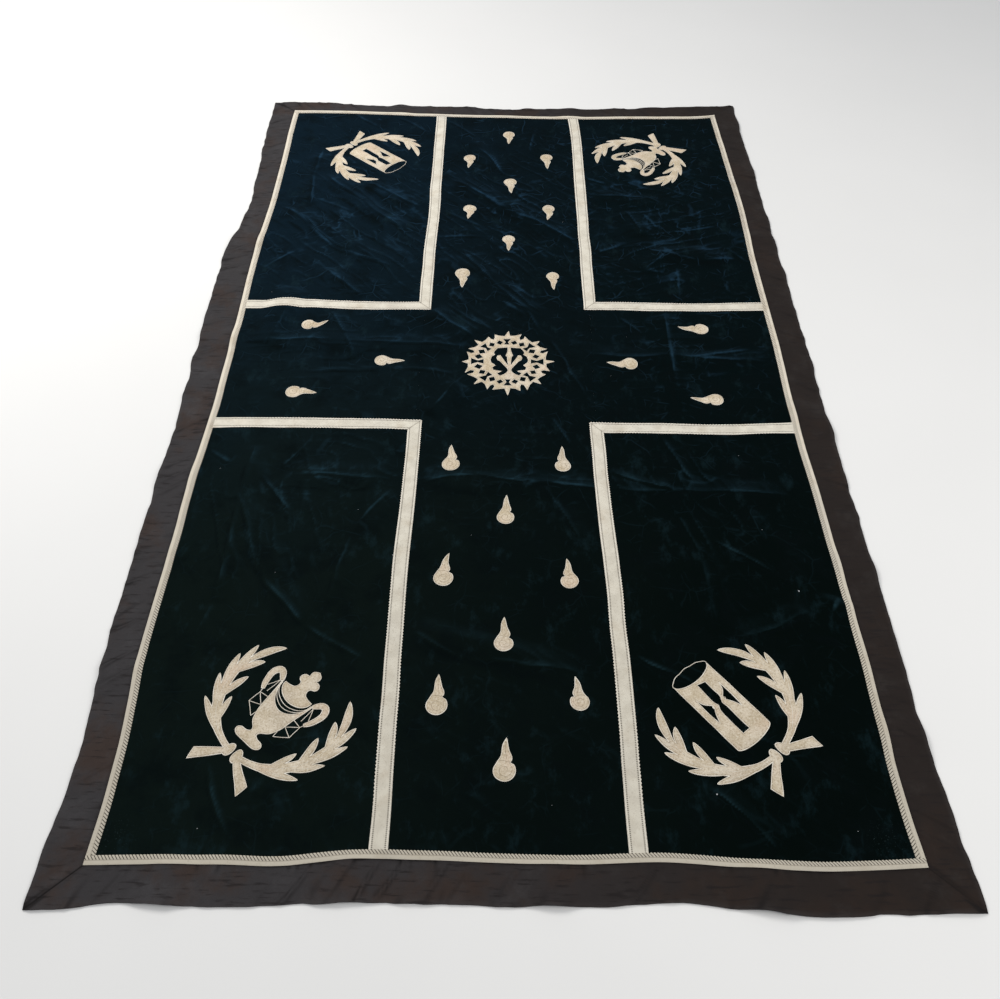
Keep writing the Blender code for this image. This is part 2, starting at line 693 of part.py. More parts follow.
def ribbon_outline(turn, hand):
    """End of the ribbon: its two end corners, and its fork with the stem."""
    sin = math.sin(math.radians(turn))
    cos = math.cos(math.radians(turn))
    knot_x, knot_y = near_knot(0.0, 0.0, hand)
    corners = []
    for side, longer in ((1, 1), (-1, -1)):
        out = RIBBON_LENGTH + longer * RIBBON_SLANT
        aside = side * RIBBON_HALF
        corners.append((knot_x - hand * (out * sin - aside * cos), knot_y - out * cos - aside * sin))
    fork = RIBBON_FORK_ALONG + (turn - RIBBON_PLAIN_TURN) * RIBBON_FORK_STEP
    return corners + [near_knot(fork, RIBBON_FORK_OUT, hand)]


def leaves_outline(angles, leaf, hand):
    """Leaves along one side of the stem, each with a belly, a tip and the fork before the next."""
    points = []
    for number, angle in enumerate(angles):
        first = 0 if number == 0 else 1
        points += [on_circle(angle - back, radius * MM, hand) for back, radius in leaf[first:]]
    return points


def branch_outline(ribbon_turn, hand):
    """Laurel branch with its knot and ribbon end; hand is 1 for the left one and -1 for the right."""
    knot = [near_knot(along * MM, out * MM, hand) for along, out in KNOT_OUTLINE]
    stem_out = [near_knot(48 * MM, STEM_HALF, hand)]
    outer = leaves_outline(OUTER_LEAF_ANGLES, OUTER_LEAF, hand)
    tip = leaves_outline([BRANCH_TIP_ANGLE], TIP_LEAF, hand)
    inner = leaves_outline(INNER_LEAF_ANGLES, INNER_LEAF, hand)
    stem_in = [
        near_knot(66 * MM, -STEM_HALF * 1.4, hand),
        near_knot(38 * MM, -STEM_HALF, hand),
    ]
    return knot + ribbon_outline(ribbon_turn, hand) + stem_out + outer + tip + inner[::-1] + stem_in


def make_wreaths():
    for place, x, y, open_way, _, _, turn_a, turn_b in EMBLEMS:
        for letter, hand, turn in (("a", 1, turn_a), ("b", -1, turn_b)):
            name = "branch_" + place + "_" + letter
            outline = turned(branch_outline(turn, hand), x, y, open_way - 90)
            cut_piece(name, [outline], make_material(name, CREAM_CLOTH, 0.8))


def hourglass_loops():
    """Hourglass with its open rim at +Y: a scooped top, a rounded foot, a slot and two side cuts."""
    half = HOURGLASS_WIDTH / 2
    rim_y = HOURGLASS_RIM_FROM_MIDDLE
    foot_y = rim_y - HOURGLASS_LENGTH
    top = []
    bottom = []
    for step in range(7):
        angle = math.pi * step / 6
        top.append((-half * math.cos(angle), rim_y - HOURGLASS_RIM_DEPTH * math.sin(angle)))
        bottom.append((half * math.cos(angle), foot_y - HOURGLASS_FOOT_BULGE * math.sin(angle)))
    slot_top = rim_y - HOURGLASS_SLOT[0]
    slot_foot = rim_y - HOURGLASS_SLOT[1]
    slot_middle = (slot_top + slot_foot) / 2
    slot = [
        (-HOURGLASS_SLOT_HALF, slot_foot),
        (HOURGLASS_SLOT_HALF, slot_foot),
        (HOURGLASS_SLOT_WAIST, slot_middle),
        (HOURGLASS_SLOT_HALF, slot_top),
        (-HOURGLASS_SLOT_HALF, slot_top),
        (-HOURGLASS_SLOT_WAIST, slot_middle),
    ]
    right_cut = [(out * MM, rim_y - down * MM) for down, out in HOURGLASS_SIDE_CUT]
    left_cut = [(-x, y) for x, y in right_cut[::-1]]
    return [top + bottom, slot, right_cut, left_cut]


def urn_body_outline():
    """Foot, neck and flared body with a scooped top between its two shoulders."""
    right = [(half * MM, up * MM) for up, half in URN_FOOT + URN_BODY_SIDE]
    scoop = []
    for step in range(1, 8):
        angle = math.pi * step / 8
        x = (URN_SHOULDER_HALF - 3 * MM) * math.cos(angle)
        scoop.append((x, URN_SHOULDER_HIGH - URN_SCOOP_DEPTH * math.sin(angle)))
    left = [(-x, y) for x, y in right[::-1]]
    return right + scoop + left


def lid_outline():
    """Bell-shaped lid with a round bottom, a lobed knob and a small ring on top."""
    bottom = []
    for step in range(8):
        angle = math.pi * step / 7
        y = LID_SHOULDER - (LID_SHOULDER - LID_BOTTOM) * math.sin(angle)
        bottom.append((-LID_HALF * math.cos(angle), y))
    right = [(half * MM, up * MM) for up, half in LID_SIDE]
    left = [(-x, y) for x, y in right[::-1]]
    return bottom + right + [(0.0, LID_TOP)] + left


def strip_outline(line, width):
    """Outline of a strip of even width along a middle line."""
    points = [Vector(point) for point in line]
    one_side = []
    other_side = []
    for index, point in enumerate(points):
        before = points[max(index - 1, 0)]
        after = points[min(index + 1, len(points) - 1)]
        along = (after - before).normalized()
        across = Vector((-along.y, along.x)) * width / 2
        one_side.append(tuple(point + across))
        other_side.append(tuple(point - across))
    return one_side + other_side[::-1]


def make_urn(place, x, y, turn):
    pieces = [("urn_", urn_body_outline()), ("lid_", lid_outline())]
    for letter, hand in (("_a", -1), ("_b", 1)):
        line = [(hand * out * MM, up * MM) for out, up in HANDLE_LINE]
        name = "handle_" + place + letter
        outline = turned(strip_outline(line, HANDLE_WIDTH), x, y, turn)
        cut_piece(name, [outline], make_material(name, CREAM_CLOTH, 0.8))
    for start, outline in pieces:
        name = start + place
        cut_piece(name, [turned(outline, x, y, turn)], make_material(name, CREAM_CLOTH, 0.8))


def make_emblem_centres():
    for place, x, y, open_way, past, motif_turn, _, _ in EMBLEMS:
        x += past * MM * math.cos(math.radians(open_way))
        y += past * MM * math.sin(math.radians(open_way))
        turn = open_way - 90 + motif_turn
        if place in ("far_right", "near_left"):
            make_urn(place, x, y, turn)
            continue
        name = "hourglass_" + place
        loops = [turned(loop, x, y, turn) for loop in hourglass_loops()]
        cut_piece(name, loops, make_material(name, CREAM_CLOTH, 0.8))


def crown_point(degrees, radius):
    angle = math.radians(degrees)
    return radius * math.cos(angle), radius * math.sin(angle)


def crown_outside():
    """Outer edge: in turn one long thorn, and a pair of shorter ones where the strands cross."""
    points = []
    for unit in range(CROWN_UNITS):
        middle = 90 + unit * 360 / CROWN_UNITS
        for degrees, past in CROWN_UNIT:
            points.append(crown_point(middle + degrees, CROWN_RADIUS_OUT + past * MM))
    return points


def crown_inside(hand):
    """Half of the inner opening, cut short by the middle nail and reaching round a slanting nail."""
    top = 90 - math.degrees(NAIL_HALF / CROWN_RADIUS_IN) - 4
    edge = []
    for thorn in range(CROWN_THORNS_IN_A_SIDE):
        part = (thorn + 0.5) / CROWN_THORNS_IN_A_SIDE
        middle = top + (CROWN_INSIDE_END - top) * part
        longer = thorn == CROWN_THORNS_IN_A_SIDE - 1
        edge.append(crown_point(middle + 8, CROWN_RADIUS_IN))
        edge.append(crown_point(middle, CROWN_THORN_IN_LONG if longer else CROWN_THORN_IN))
        edge.append(crown_point(middle - 8, CROWN_RADIUS_IN))
    nails = [(x * MM, y * MM) for x, y in SLANTING_NAIL + MIDDLE_NAIL]
    half = [crown_point(top, CROWN_RADIUS_IN)] + edge + nails
    return [(hand * x, y) for x, y in half]


def crown_opening(degrees):
    """Small waisted opening between the two strands of the crown."""
    long = CROWN_OPENING_LONG
    wide = CROWN_OPENING_WIDE
    waist = CROWN_OPENING_WAIST
    shape = [(-long, -wide), (0.0, -waist), (long, -wide), (long, wide), (0.0, waist), (-long, wide)]
    x, y = crown_point(degrees, CROWN_MIDDLE_RADIUS)
    return turned(shape, x, y, degrees)


def crown_gap(degrees):
    """Small four-cornered gap between two of the waisted openings."""
    size = CROWN_GAP_SIZE
    x, y = crown_point(degrees, CROWN_MIDDLE_RADIUS)
    return turned([(-size, 0.0), (0.0, -size), (size, 0.0), (0.0, size)], x, y, degrees)


def make_crown():
    loops = [crown_outside(), crown_inside(1), crown_inside(-1)]
    for unit in range(CROWN_UNITS):
        middle = 90 + unit * 360 / CROWN_UNITS
        loops.append(crown_opening(middle))
        loops.append(crown_gap(middle - CROWN_GAP_APART))
        loops.append(crown_gap(middle + CROWN_GAP_APART))
    loops = [turned(loop, CROWN_X, CROWN_Y, 0) for loop in loops]
    cut_piece("crown", loops, make_material("crown", CREAM_CLOTH, 0.8))


clear_scene()
make_velvet()
make_border()
make_edging()
make_cross()
make_tears()
make_wreaths()
make_emblem_centres()
make_crown()
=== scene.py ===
"""Looks of the funeral pall: creased velvet, puckered border, woven tapes and corded cut cloth.

Metres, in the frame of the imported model: X runs across the pall, Y along it to the far end, Z up.
Every piece is first laid out on a straight plan, and the plan is then strayed as the real cloth is uneven.
"""

import math

import bpy
import numpy as np
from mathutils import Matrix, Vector
from mathutils.geometry import delaunay_2d_cdt


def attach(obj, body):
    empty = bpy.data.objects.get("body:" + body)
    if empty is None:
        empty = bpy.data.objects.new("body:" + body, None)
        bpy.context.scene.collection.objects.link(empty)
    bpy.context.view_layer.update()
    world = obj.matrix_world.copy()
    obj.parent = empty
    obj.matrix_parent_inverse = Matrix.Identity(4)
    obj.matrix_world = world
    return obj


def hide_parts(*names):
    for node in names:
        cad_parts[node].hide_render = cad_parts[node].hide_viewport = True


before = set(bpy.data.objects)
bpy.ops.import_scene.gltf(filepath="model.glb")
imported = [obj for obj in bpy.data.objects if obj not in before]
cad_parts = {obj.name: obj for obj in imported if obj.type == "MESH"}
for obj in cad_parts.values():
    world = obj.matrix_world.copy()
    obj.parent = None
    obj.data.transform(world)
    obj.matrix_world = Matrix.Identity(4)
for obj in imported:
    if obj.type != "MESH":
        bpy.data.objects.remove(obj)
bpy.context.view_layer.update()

MM = 0.001

# Plan of the pall.
HEM_LEFT = -0.916
HEM_RIGHT = 0.892
HEM_NEAR = -1.528
HEM_FAR = 1.476
SEAM_LEFT = -0.828
SEAM_RIGHT = 0.812
SEAM_NEAR = -1.448
SEAM_FAR = 1.416
EDGING_WIDTH = 0.018
CROSS_TAPE_WIDTH = 0.036
CROSS_LEFT = -0.254
CROSS_RIGHT = 0.256
CROSS_FAR = 0.254
CROSS_NEAR = -0.260

VELVET_THICK = 2.0 * MM
BORDER_THICK = 1.2 * MM
TAPE_THICK = 1.0 * MM
CUT_CLOTH_THICK = 1.3 * MM
SEWN_GAP = 0.3 * MM
HALF_GAP = 0.15 * MM

# Unevenness of the long lines: place of the line, then how far it strays to the right, in mm, at stations
# from the near end to the far end.
LONG_STATIONS = np.linspace(-1.50, 1.50, 13)
LONG_LINES = (
    (HEM_LEFT, (-4, 12, 2, 0, 0, 0, -6, -8, -10, 22, 14, 8, 2)),
    (SEAM_LEFT, (-2, 5, -8, -6, -6, 2, 2, 0, -4, 4, 4, 0, 0)),
    (CROSS_LEFT, (0, -2, -4, -6, -1, 0, 0, 0, 0, 4, 2, 3, 1)),
    (CROSS_RIGHT, (3, 2, 2, -1, -8, -10, -6, 1, 2, 2, 4, 5, -4)),
    (SEAM_RIGHT, (8, 0, 4, 0, -2, -8, -2, -2, -2, 6, 3, -2, -6)),
    (HEM_RIGHT, (18, 0, -2, 2, 0, -4, 0, 0, -2, -1, 0, -4, -2)),
)

# The same for the lines that run across: how far each strays to the far side, in mm, from left to right.
CROSS_STATIONS = np.linspace(-0.90, 0.90, 13)
CROSSWISE_LINES = (
    (HEM_NEAR, (-8, 6, 0, 0, 8, 6, 4, 0, 10, -4, -14, -12, -6)),
    (SEAM_NEAR, (-6, -4, -2, -4, 8, 8, 2, 0, 5, -4, -10, -6, 0)),
    (CROSS_NEAR, (9, 8, 9, 6, 4, 0, -2, -4, -8, -10, -13, -8, -6)),
    (CROSS_FAR, (5, 5, 9, 1, -1, 0, 0, 0, 1, -3, -5, -1, 0)),
    (SEAM_FAR, (28, 28, 24, 14, 4, -4, -8, -16, -18, -14, -14, -10, 16)),
    (HEM_FAR, (32, 30, 18, 4, 6, -2, -20, -16, -18, -14, -4, 0, 12)),
)

# Broad creases: from x, y to x, y, height in mm, and width in metres.
BROAD_CREASES = (
    # far left panel
    (-0.654, 0.970, -0.340, 0.614, 8, 0.13),
    (-0.506, 0.938, -0.306, 0.778, 5, 0.12),
    (-0.780, 0.770, -0.374, 0.444, 6, 0.13),
    (-0.580, 0.430, -0.454, 0.290, 6, 0.12),
    (-0.700, 1.114, -0.686, 0.790, 5, 0.12),
    # left arm
    (-0.674, 0.340, -0.734, 0.064, 12, 0.14),
    (-0.794, 0.084, -0.126, 0.068, 6, 0.12),
    (-0.546, 0.218, -0.446, 0.004, 6, 0.12),
    # far arm
    (-0.234, 1.370, -0.006, 0.990, 5, 0.12),
    (-0.194, 0.964, 0.230, 0.596, 7, 0.13),
    (-0.140, 0.538, 0.090, 0.164, 6, 0.13),
    (-0.226, 0.240, -0.110, 0.104, 6, 0.12),
    # far right panel
    (0.294, 0.864, 0.526, 0.818, 6, 0.12),
    (0.466, 0.538, 0.740, 0.498, 8, 0.13),
    (0.394, 0.770, 0.454, 0.624, 5, 0.12),
    (0.434, 0.430, 0.540, 0.538, 5, 0.12),
    # right arm
    (0.226, 0.030, 0.774, 0.010, 5, 0.12),
    (0.490, 0.230, 0.494, -0.182, 6, 0.12),
    # near left panel
    (-0.574, -0.450, -0.306, -0.452, 6, 0.12),
    (-0.674, -0.342, -0.686, -0.850, 8, 0.13),
    (-0.680, -0.536, -0.474, -0.910, 7, 0.12),
    (-0.300, -0.490, -0.426, -0.850, 5, 0.12),
    # near arm
    (-0.130, -0.090, -0.226, -0.222, 6, 0.12),
    (-0.226, -0.462, 0.254, -0.482, 7, 0.12),
    (0.100, -0.482, 0.186, -0.670, 5, 0.12),
    (-0.234, -0.922, 0.160, -1.026, 7, 0.12),
    # near right panel
    (0.254, -0.482, 0.734, -0.496, 7, 0.12),
    (0.450, -0.306, 0.486, -0.916, 6, 0.13),
    (0.786, -0.816, 0.730, -0.946, 7, 0.12),
    (0.514, -0.942, 0.714, -0.860, 6, 0.12),
    (0.420, -1.296, 0.530, -1.416, 5, 0.12),
    # flutes of the border, each running out past its hem
    (-0.800, 0.560, -1.050, 0.600, 10, 0.15),
    (-0.800, 0.100, -1.050, 0.090, 6, 0.13),
    (-0.800, -0.450, -1.050, -0.450, 6, 0.13),
    (-0.800, -1.040, -1.050, -1.000, 5, 0.13),
    (0.790, -0.180, 1.020, -0.340, 7, 0.15),
    (0.790, -0.720, 1.020, -0.760, 6, 0.13),
    (0.790, -1.160, 1.020, -1.200, 7, 0.14),
    (0.790, 0.620, 1.020, 0.600, 4, 0.13),
    (-0.640, -1.420, -0.700, -1.640, 8, 0.14),
    (-0.300, -1.430, -0.340, -1.640, 6, 0.13),
    (0.100, -1.430, 0.060, -1.640, 6, 0.13),
    (0.480, -1.430, 0.500, -1.640, 9, 0.15),
    (-0.420, 1.410, -0.400, 1.600, 5, 0.14),
    (0.240, 1.390, 0.260, 1.580, 5, 0.14),
)
HIGHEST_CREASE = 13 * MM
CREASE_END = 0.18

# Sharp creases on top of them: from x, y to x, y, and height and width in mm.
SHARP_CREASES = (
    # far left panel
    (-0.654, 0.970, -0.500, 0.800, 2.6, 34),
    (-0.500, 0.800, -0.350, 0.636, 3.0, 34),
    (-0.506, 0.938, -0.306, 0.778, 2.2, 30),
    (-0.780, 0.770, -0.674, 0.664, 2.2, 30),
    (-0.674, 0.664, -0.566, 0.538, 2.6, 30),
    (-0.566, 0.538, -0.374, 0.444, 2.4, 30),
    (-0.580, 0.430, -0.454, 0.290, 3.4, 34),
    (-0.686, 0.780, -0.700, 0.970, 2.2, 30),
    (-0.700, 0.950, -0.678, 1.150, 1.8, 28),
    (-0.606, 1.398, -0.480, 1.304, 1.8, 30),
    (-0.420, 1.378, -0.300, 1.270, 1.8, 30),
    (-0.786, 0.430, -0.674, 0.538, 2.0, 28),
    (-0.666, 0.818, -0.540, 0.750, 2.0, 28),
    # left arm
    (-0.794, 0.084, -0.514, 0.090, 2.2, 34),
    (-0.514, 0.090, -0.126, 0.068, 2.0, 30),
    (-0.546, 0.218, -0.480, 0.124, 2.4, 30),
    (-0.480, 0.124, -0.446, 0.004, 2.0, 30),
    (-0.606, -0.050, -0.340, -0.034, 1.8, 30),
    (-0.340, -0.030, -0.140, -0.050, 1.6, 28),
    (-0.674, 0.240, -0.734, 0.064, 2.4, 34),
    # far arm
    (-0.194, 0.964, 0.014, 0.770, 2.8, 32),
    (0.014, 0.770, 0.230, 0.596, 3.0, 32),
    (-0.226, 0.770, -0.080, 0.670, 2.2, 30),
    (-0.234, 0.618, -0.074, 0.610, 2.0, 28),
    (-0.140, 0.538, -0.046, 0.370, 2.4, 30),
    (-0.046, 0.370, 0.060, 0.224, 2.2, 30),
    (0.060, 0.224, 0.100, 0.150, 1.8, 28),
    (-0.226, 0.230, -0.094, 0.098, 3.2, 32),
    (-0.186, 0.270, -0.046, 0.130, 2.0, 28),
    (-0.020, 0.270, 0.054, 0.198, 2.0, 28),
    (-0.234, 1.370, -0.114, 1.258, 2.0, 30),
    (-0.106, 1.178, -0.006, 0.990, 2.2, 30),
    (0.106, 1.298, 0.074, 1.098, 1.8, 28),
    # far right panel
    (0.300, 0.858, 0.474, 0.850, 2.2, 30),
    (0.474, 0.850, 0.526, 0.818, 2.0, 28),
    (0.286, 0.984, 0.354, 0.950, 2.0, 28),
    (0.394, 0.770, 0.454, 0.624, 2.4, 30),
    (0.454, 0.758, 0.500, 0.670, 2.0, 28),
    (0.580, 0.658, 0.700, 0.684, 2.0, 28),
    (0.466, 0.538, 0.634, 0.484, 3.2, 34),
    (0.634, 0.484, 0.740, 0.498, 2.4, 30),
    (0.726, 0.558, 0.766, 0.484, 2.0, 28),
    (0.294, 0.538, 0.406, 0.590, 2.2, 30),
    (0.434, 0.430, 0.540, 0.538, 2.4, 30),
    (0.554, 0.458, 0.540, 0.290, 2.2, 30),
    (0.366, 0.430, 0.500, 0.430, 1.8, 28),
    # right arm
    (0.226, 0.030, 0.494, 0.030, 2.2, 32),
    (0.494, 0.030, 0.774, 0.010, 2.2, 32),
    (0.490, 0.230, 0.494, -0.182, 2.8, 30),
    (0.340, 0.198, 0.406, 0.130, 2.0, 28),
    (0.526, 0.024, 0.734, 0.064, 2.0, 28),
    # crossing and near arm
    (-0.120, -0.050, -0.226, -0.222, 2.4, 32),
    (0.134, 0.110, 0.226, -0.142, 2.0, 30),
    (0.140, -0.230, 0.180, -0.330, 1.8, 28),
    (-0.226, -0.462, -0.086, -0.450, 2.6, 34),
    (-0.086, -0.450, 0.060, -0.472, 2.4, 32),
    (0.060, -0.472, 0.254, -0.482, 2.4, 34),
    (0.100, -0.482, 0.186, -0.670, 2.0, 30),
    (-0.220, -0.926, -0.090, -0.996, 2.2, 32),
    (-0.090, -0.996, 0.160, -1.026, 2.0, 32),
    # near left panel
    (-0.574, -0.450, -0.306, -0.452, 2.0, 32),
    (-0.674, -0.342, -0.680, -0.500, 2.4, 32),
    (-0.680, -0.500, -0.686, -0.850, 2.4, 34),
    (-0.686, -0.850, -0.720, -1.010, 1.8, 30),
    (-0.680, -0.536, -0.586, -0.770, 2.2, 32),
    (-0.586, -0.770, -0.474, -0.910, 2.8, 32),
    (-0.474, -0.910, -0.320, -1.002, 1.8, 28),
    (-0.526, -0.302, -0.600, -0.422, 1.8, 28),
    (-0.300, -0.490, -0.380, -0.650, 2.2, 30),
    (-0.380, -0.650, -0.426, -0.850, 2.0, 30),
    (-0.800, -0.356, -0.720, -0.410, 1.8, 28),
    (-0.646, -0.450, -0.546, -0.570, 1.8, 28),
    (-0.640, -1.236, -0.550, -1.406, 1.8, 30),
    # near right panel
    (0.434, -0.296, 0.494, -0.450, 2.4, 30),
    (0.494, -0.450, 0.440, -0.570, 2.0, 30),
    (0.440, -0.570, 0.474, -0.702, 2.0, 30),
    (0.474, -0.702, 0.486, -0.916, 2.0, 30),
    (0.286, -0.422, 0.446, -0.482, 2.4, 32),
    (0.254, -0.482, 0.734, -0.496, 2.2, 36),
    (0.514, -0.642, 0.646, -0.750, 2.0, 30),
    (0.786, -0.816, 0.740, -0.930, 2.6, 32),
    (0.514, -0.942, 0.714, -0.860, 2.4, 32),
    (0.280, -0.976, 0.420, -1.056, 2.0, 30),
    (0.420, -1.296, 0.530, -1.416, 2.0, 30),
)
HIGHEST_SHARP = 3.6 * MM
SHARP_END = 0.35
STEEP_SIDE = 0.65

# Crumpled patches: middle x, y, reach in metres, the way their wrinkles run in degrees, and height in mm.
CRUMPLES = (
    (-0.55, 0.62, 0.30, -45, 1.5),
    (-0.52, 1.02, 0.30, -40, 0.8),
    (0.00, 0.88, 0.34, -45, 1.1),
    (0.00, 0.42, 0.28, -50, 1.3),
    (0.55, 0.60, 0.30, 20, 1.4),
    (0.50, 1.02, 0.30, -35, 0.8),
    (-0.50, 0.05, 0.30, 3, 0.9),
    (0.50, 0.05, 0.30, 5, 0.7),
    (0.00, 0.00, 0.26, -40, 0.7),
    (-0.62, -0.55, 0.30, -75, 0.9),
    (-0.40, -0.40, 0.22, -10, 0.8),
    (0.00, -0.47, 0.22, 0, 0.8),
    (0.50, -0.50, 0.30, -70, 0.8),
    (-0.40, -1.30, 0.28, -60, 0.5),
    (0.50, -1.25, 0.28, -40, 0.5),
    (0.00, -1.20, 0.28, -30, 0.5),
)
WRINKLE_LONG = 0.110
WRINKLE_WIDE = 0.034
NOISE_CELLS = 256
CREASE_WANDER = 9 * MM
LINE_WOBBLE = 1.1 * MM

# Steps of the meshes.
VELVET_STEP = 5.0 * MM
BORDER_STEP = 4.4 * MM
TAPE_STEP = 2.0 * MM
EDGING_STEP = 1.7 * MM
OUTLINE_STEP = 3.4 * MM
LOWER_SKIP = 4

# Across the wide tape and the edging: distance from one edge as a part of the width, and height in mm above
# the tape's flat face.
WIDE_TAPE_ACROSS = (
    (0.0, -0.35),
    (0.035, 0.35),
    (0.08, 0.30),
    (0.13, -0.45),
    (0.18, 0.05),
    (0.33, 0.12),
    (0.5, 0.05),
    (0.67, 0.12),
    (0.82, 0.05),
    (0.87, -0.45),
    (0.92, 0.30),
    (0.965, 0.35),
    (1.0, -0.35),
)
EDGING_ACROSS = (
    (0.0, -0.35),
    (0.11, 0.25),
    (0.24, -0.25),
    (0.36, 0.30),
    (0.48, -0.30),
    (0.62, 0.30),
    (0.78, 0.45),
    (0.90, 0.20),
    (1.0, -0.35),
)
PICOT_PITCH = 8 * MM
PICOT_REACH = 2.4 * MM
ROPE_PITCH = 6.8 * MM
ROPE_REACH = 1.8 * MM
ROPE_SLANT = 0.8

# Tears: middle x, y, the way the tail points, in degrees, the side of its notch, how far its tip leans to that
# side as a part of the width, and length and width in mm.
TO_NEAR = -90
TO_FAR = 90
TO_RIGHT = 0
TO_LEFT = 180
TEARS = (
    (0.008, 1.244, TO_NEAR, 1, 0.00, 89, 42),
    (-0.136, 1.080, TO_NEAR, 1, -0.10, 87, 41),
    (0.146, 1.080, TO_NEAR, 1, 0.05, 99, 43),
    (0.012, 0.920, TO_NEAR, 1, 0.10, 93, 43),
    (-0.128, 0.760, TO_NEAR, 1, -0.10, 82, 43),
    (0.144, 0.754, TO_NEAR, 1, -0.15, 96, 40),
    (0.006, 0.580, TO_NEAR, 1, 0.00, 88, 41),
    (-0.142, 0.392, TO_NEAR, 1, 0.00, 96, 46),
    (0.146, 0.380, TO_NEAR, 1, 0.08, 92, 39),
    (-0.586, 0.162, TO_RIGHT, -1, -0.35, 84, 40),
    (-0.346, 0.002, TO_RIGHT, -1, 0.00, 91, 41),
    (-0.586, -0.130, TO_RIGHT, 1, -0.10, 89, 44),
    (0.564, 0.146, TO_LEFT, -1, 0.15, 93, 44),
    (0.338, -0.012, TO_LEFT, 1, -0.15, 92, 41),
    (0.566, -0.158, TO_LEFT, 1, -0.15, 94, 42),
    (-0.150, -0.382, TO_FAR, -1, 0.00, 94, 46),
    (0.148, -0.386, TO_FAR, 1, 0.00, 94, 40),
    (-0.004, -0.560, TO_FAR, -1, 0.06, 95, 42),
    (-0.154, -0.746, TO_FAR, -1, 0.26, 98, 45),
    (0.150, -0.758, TO_FAR, 1, 0.10, 90, 42),
    (-0.008, -0.930, TO_FAR, -1, 0.02, 98, 43),
    (-0.154, -1.082, TO_FAR, -1, 0.04, 99, 46),
    (0.158, -1.080, TO_FAR, 1, 0.18, 86, 41),
    (-0.006, -1.232, TO_FAR, -1, 0.12, 98, 46),
)
# Sides of a tear past its round end: part of the length, and distance from the axis as a part of the width.
TEAR_BULB_MIDDLE = 0.245
TEAR_BULB_ENDS = 58
TEAR_PLAIN_SIDE = ((0.47, -0.31), (0.55, -0.20), (0.64, -0.14), (0.76, -0.13), (0.87, -0.10))
TEAR_LOBED_SIDE = ((0.88, 0.09), (0.78, 0.15), (0.70, 0.20), (0.62, 0.28), (0.55, 0.33), (0.49, 0.32))
TEAR_NOTCH = (0.43, 0.24)
TEAR_LEAN_FROM = 0.6

# Corner emblems: name, middle x, y, the way from the knots to the open side in degrees, how far the urn or
# hourglass sits past the wreath's middle that way in mm, how far it is turned, and the turns of the two
# ribbon ends from straight outwards, in degrees.
EMBLEMS = (
    ("far_left", -0.469, 1.099, -40, -8, -2, 68, 60),
    ("far_right", 0.474, 1.074, -132, -14, -5, 66, 55),
    ("near_left", -0.486, -1.109, 50, 0, -1, 46, 58),
    ("near_right", 0.472, -1.110, 134, 7, -5, 53, 60),
)

# Laurel branches on the wreath's circle. A leaf: degrees past the knots of its root, its bend and its tip,
# the radii there in mm, and its half width in mm.
WREATH_RADIUS = 0.146
KNOT_APART = 11 * MM
LEAVES = (
    (26, 44, 57, 150, 162, 178, 7.5),
    (46, 64, 77, 150, 160, 174, 7.5),
    (66, 84, 97, 150, 162, 176, 8.0),
    (81, 99, 111.5, 150, 159, 170, 7.5),
    (97, 117, 133.5, 147, 152, 143, 8.5),
    (36, 49, 60, 142, 132, 120, 6.5),
    (60, 75, 87.5, 142, 128, 114, 7.5),
    (86, 101, 111, 144, 134, 122, 7.5),
)
LEAF_ROOT_SHARE = 0.40
# Stem: degrees past the knots, radius in mm and half width in mm.
STEM = (
    (5, 146, 6.0),
    (18, 145, 6.5),
    (30, 146, 8.5),
    (46, 147, 10.5),
    (64, 147, 10.5),
    (84, 148, 8.5),
    (100, 149, 6.5),
)
# Ribbon ends: length, half widths at the knot and at the end, and how much longer their side by the other
# ribbon is.
RIBBON_LENGTH = 0.072
RIBBON_HALF_ROOT = 6.5 * MM
RIBBON_HALF_END = 12.5 * MM
RIBBON_SLANT = 8 * MM
# Outline of a knot: along the circle and outwards from it, in mm.
KNOT_OUTLINE = ((11, -6), (6, -15), (-2, -17), (-7, -10), (-8, 4), (-4, 13), (3, 15), (9, 8))

# Crown of thorns with three nails.
CROWN_X = 0.001
CROWN_Y = -0.002
CROWN_RADIUS_OUT = 0.113
CROWN_UNITS = 8
# Outer edge of one unit: degrees from its middle, how far past the crown's outer radius in mm, and whether it
# is a thorn's tip. The pair of thorns beside a crossing lean towards it.
CROWN_UNIT = (
    (-4.0, 0, False),
    (0, 23, True),
    (4.0, 0, False),
    (11.5, 2, False),
    (19.0, 14, True),
    (18.7, -2, False),
    (22.5, -10, False),
    (26.3, -2, False),
    (26.0, 14, True),
    (33.5, 2, False),
)
CROWN_TIP_SWAY = 2.2
CROWN_TIP_UNEVEN = 5.5
CROWN_EDGE_UNEVEN = 1.5
# Holes of one unit, across its radius and around it, in mm: a waisted one between two four-cornered ones.
CROWN_MIDDLE_RADIUS = 0.087
CROWN_OPENING = ((-13, -10), (0, -4.5), (15, -14), (15, 14), (0, 4.5), (-13, 10))
CROWN_GAP = ((-10, 0), (0, -11.5), (10, 0), (0, 11.5))
CROWN_GAP_APART = 14.2
CROWN_SIDE_LONGER = 0.30
# Right half of the inner opening, from the top round its thorns to the foot of the nails, in mm. The opening
# and the nails sit a little to the right of the crown's middle.
CROWN_INSIDE_RIGHT = 6 * MM
CROWN_INSIDE = (
    (4, 62),
    (34, 60),
    (43, 47),
    (46, 38),
    (42, 31),
    (52, 23),
    (56, 8),
    (54, -4),
    (41, -16),
    (50, -25),
    (46, -36),
    (23, -41),
    (36, -50),
    (28, -61),
    (16, -54),
    (8, -46),
    (4, -36),
)
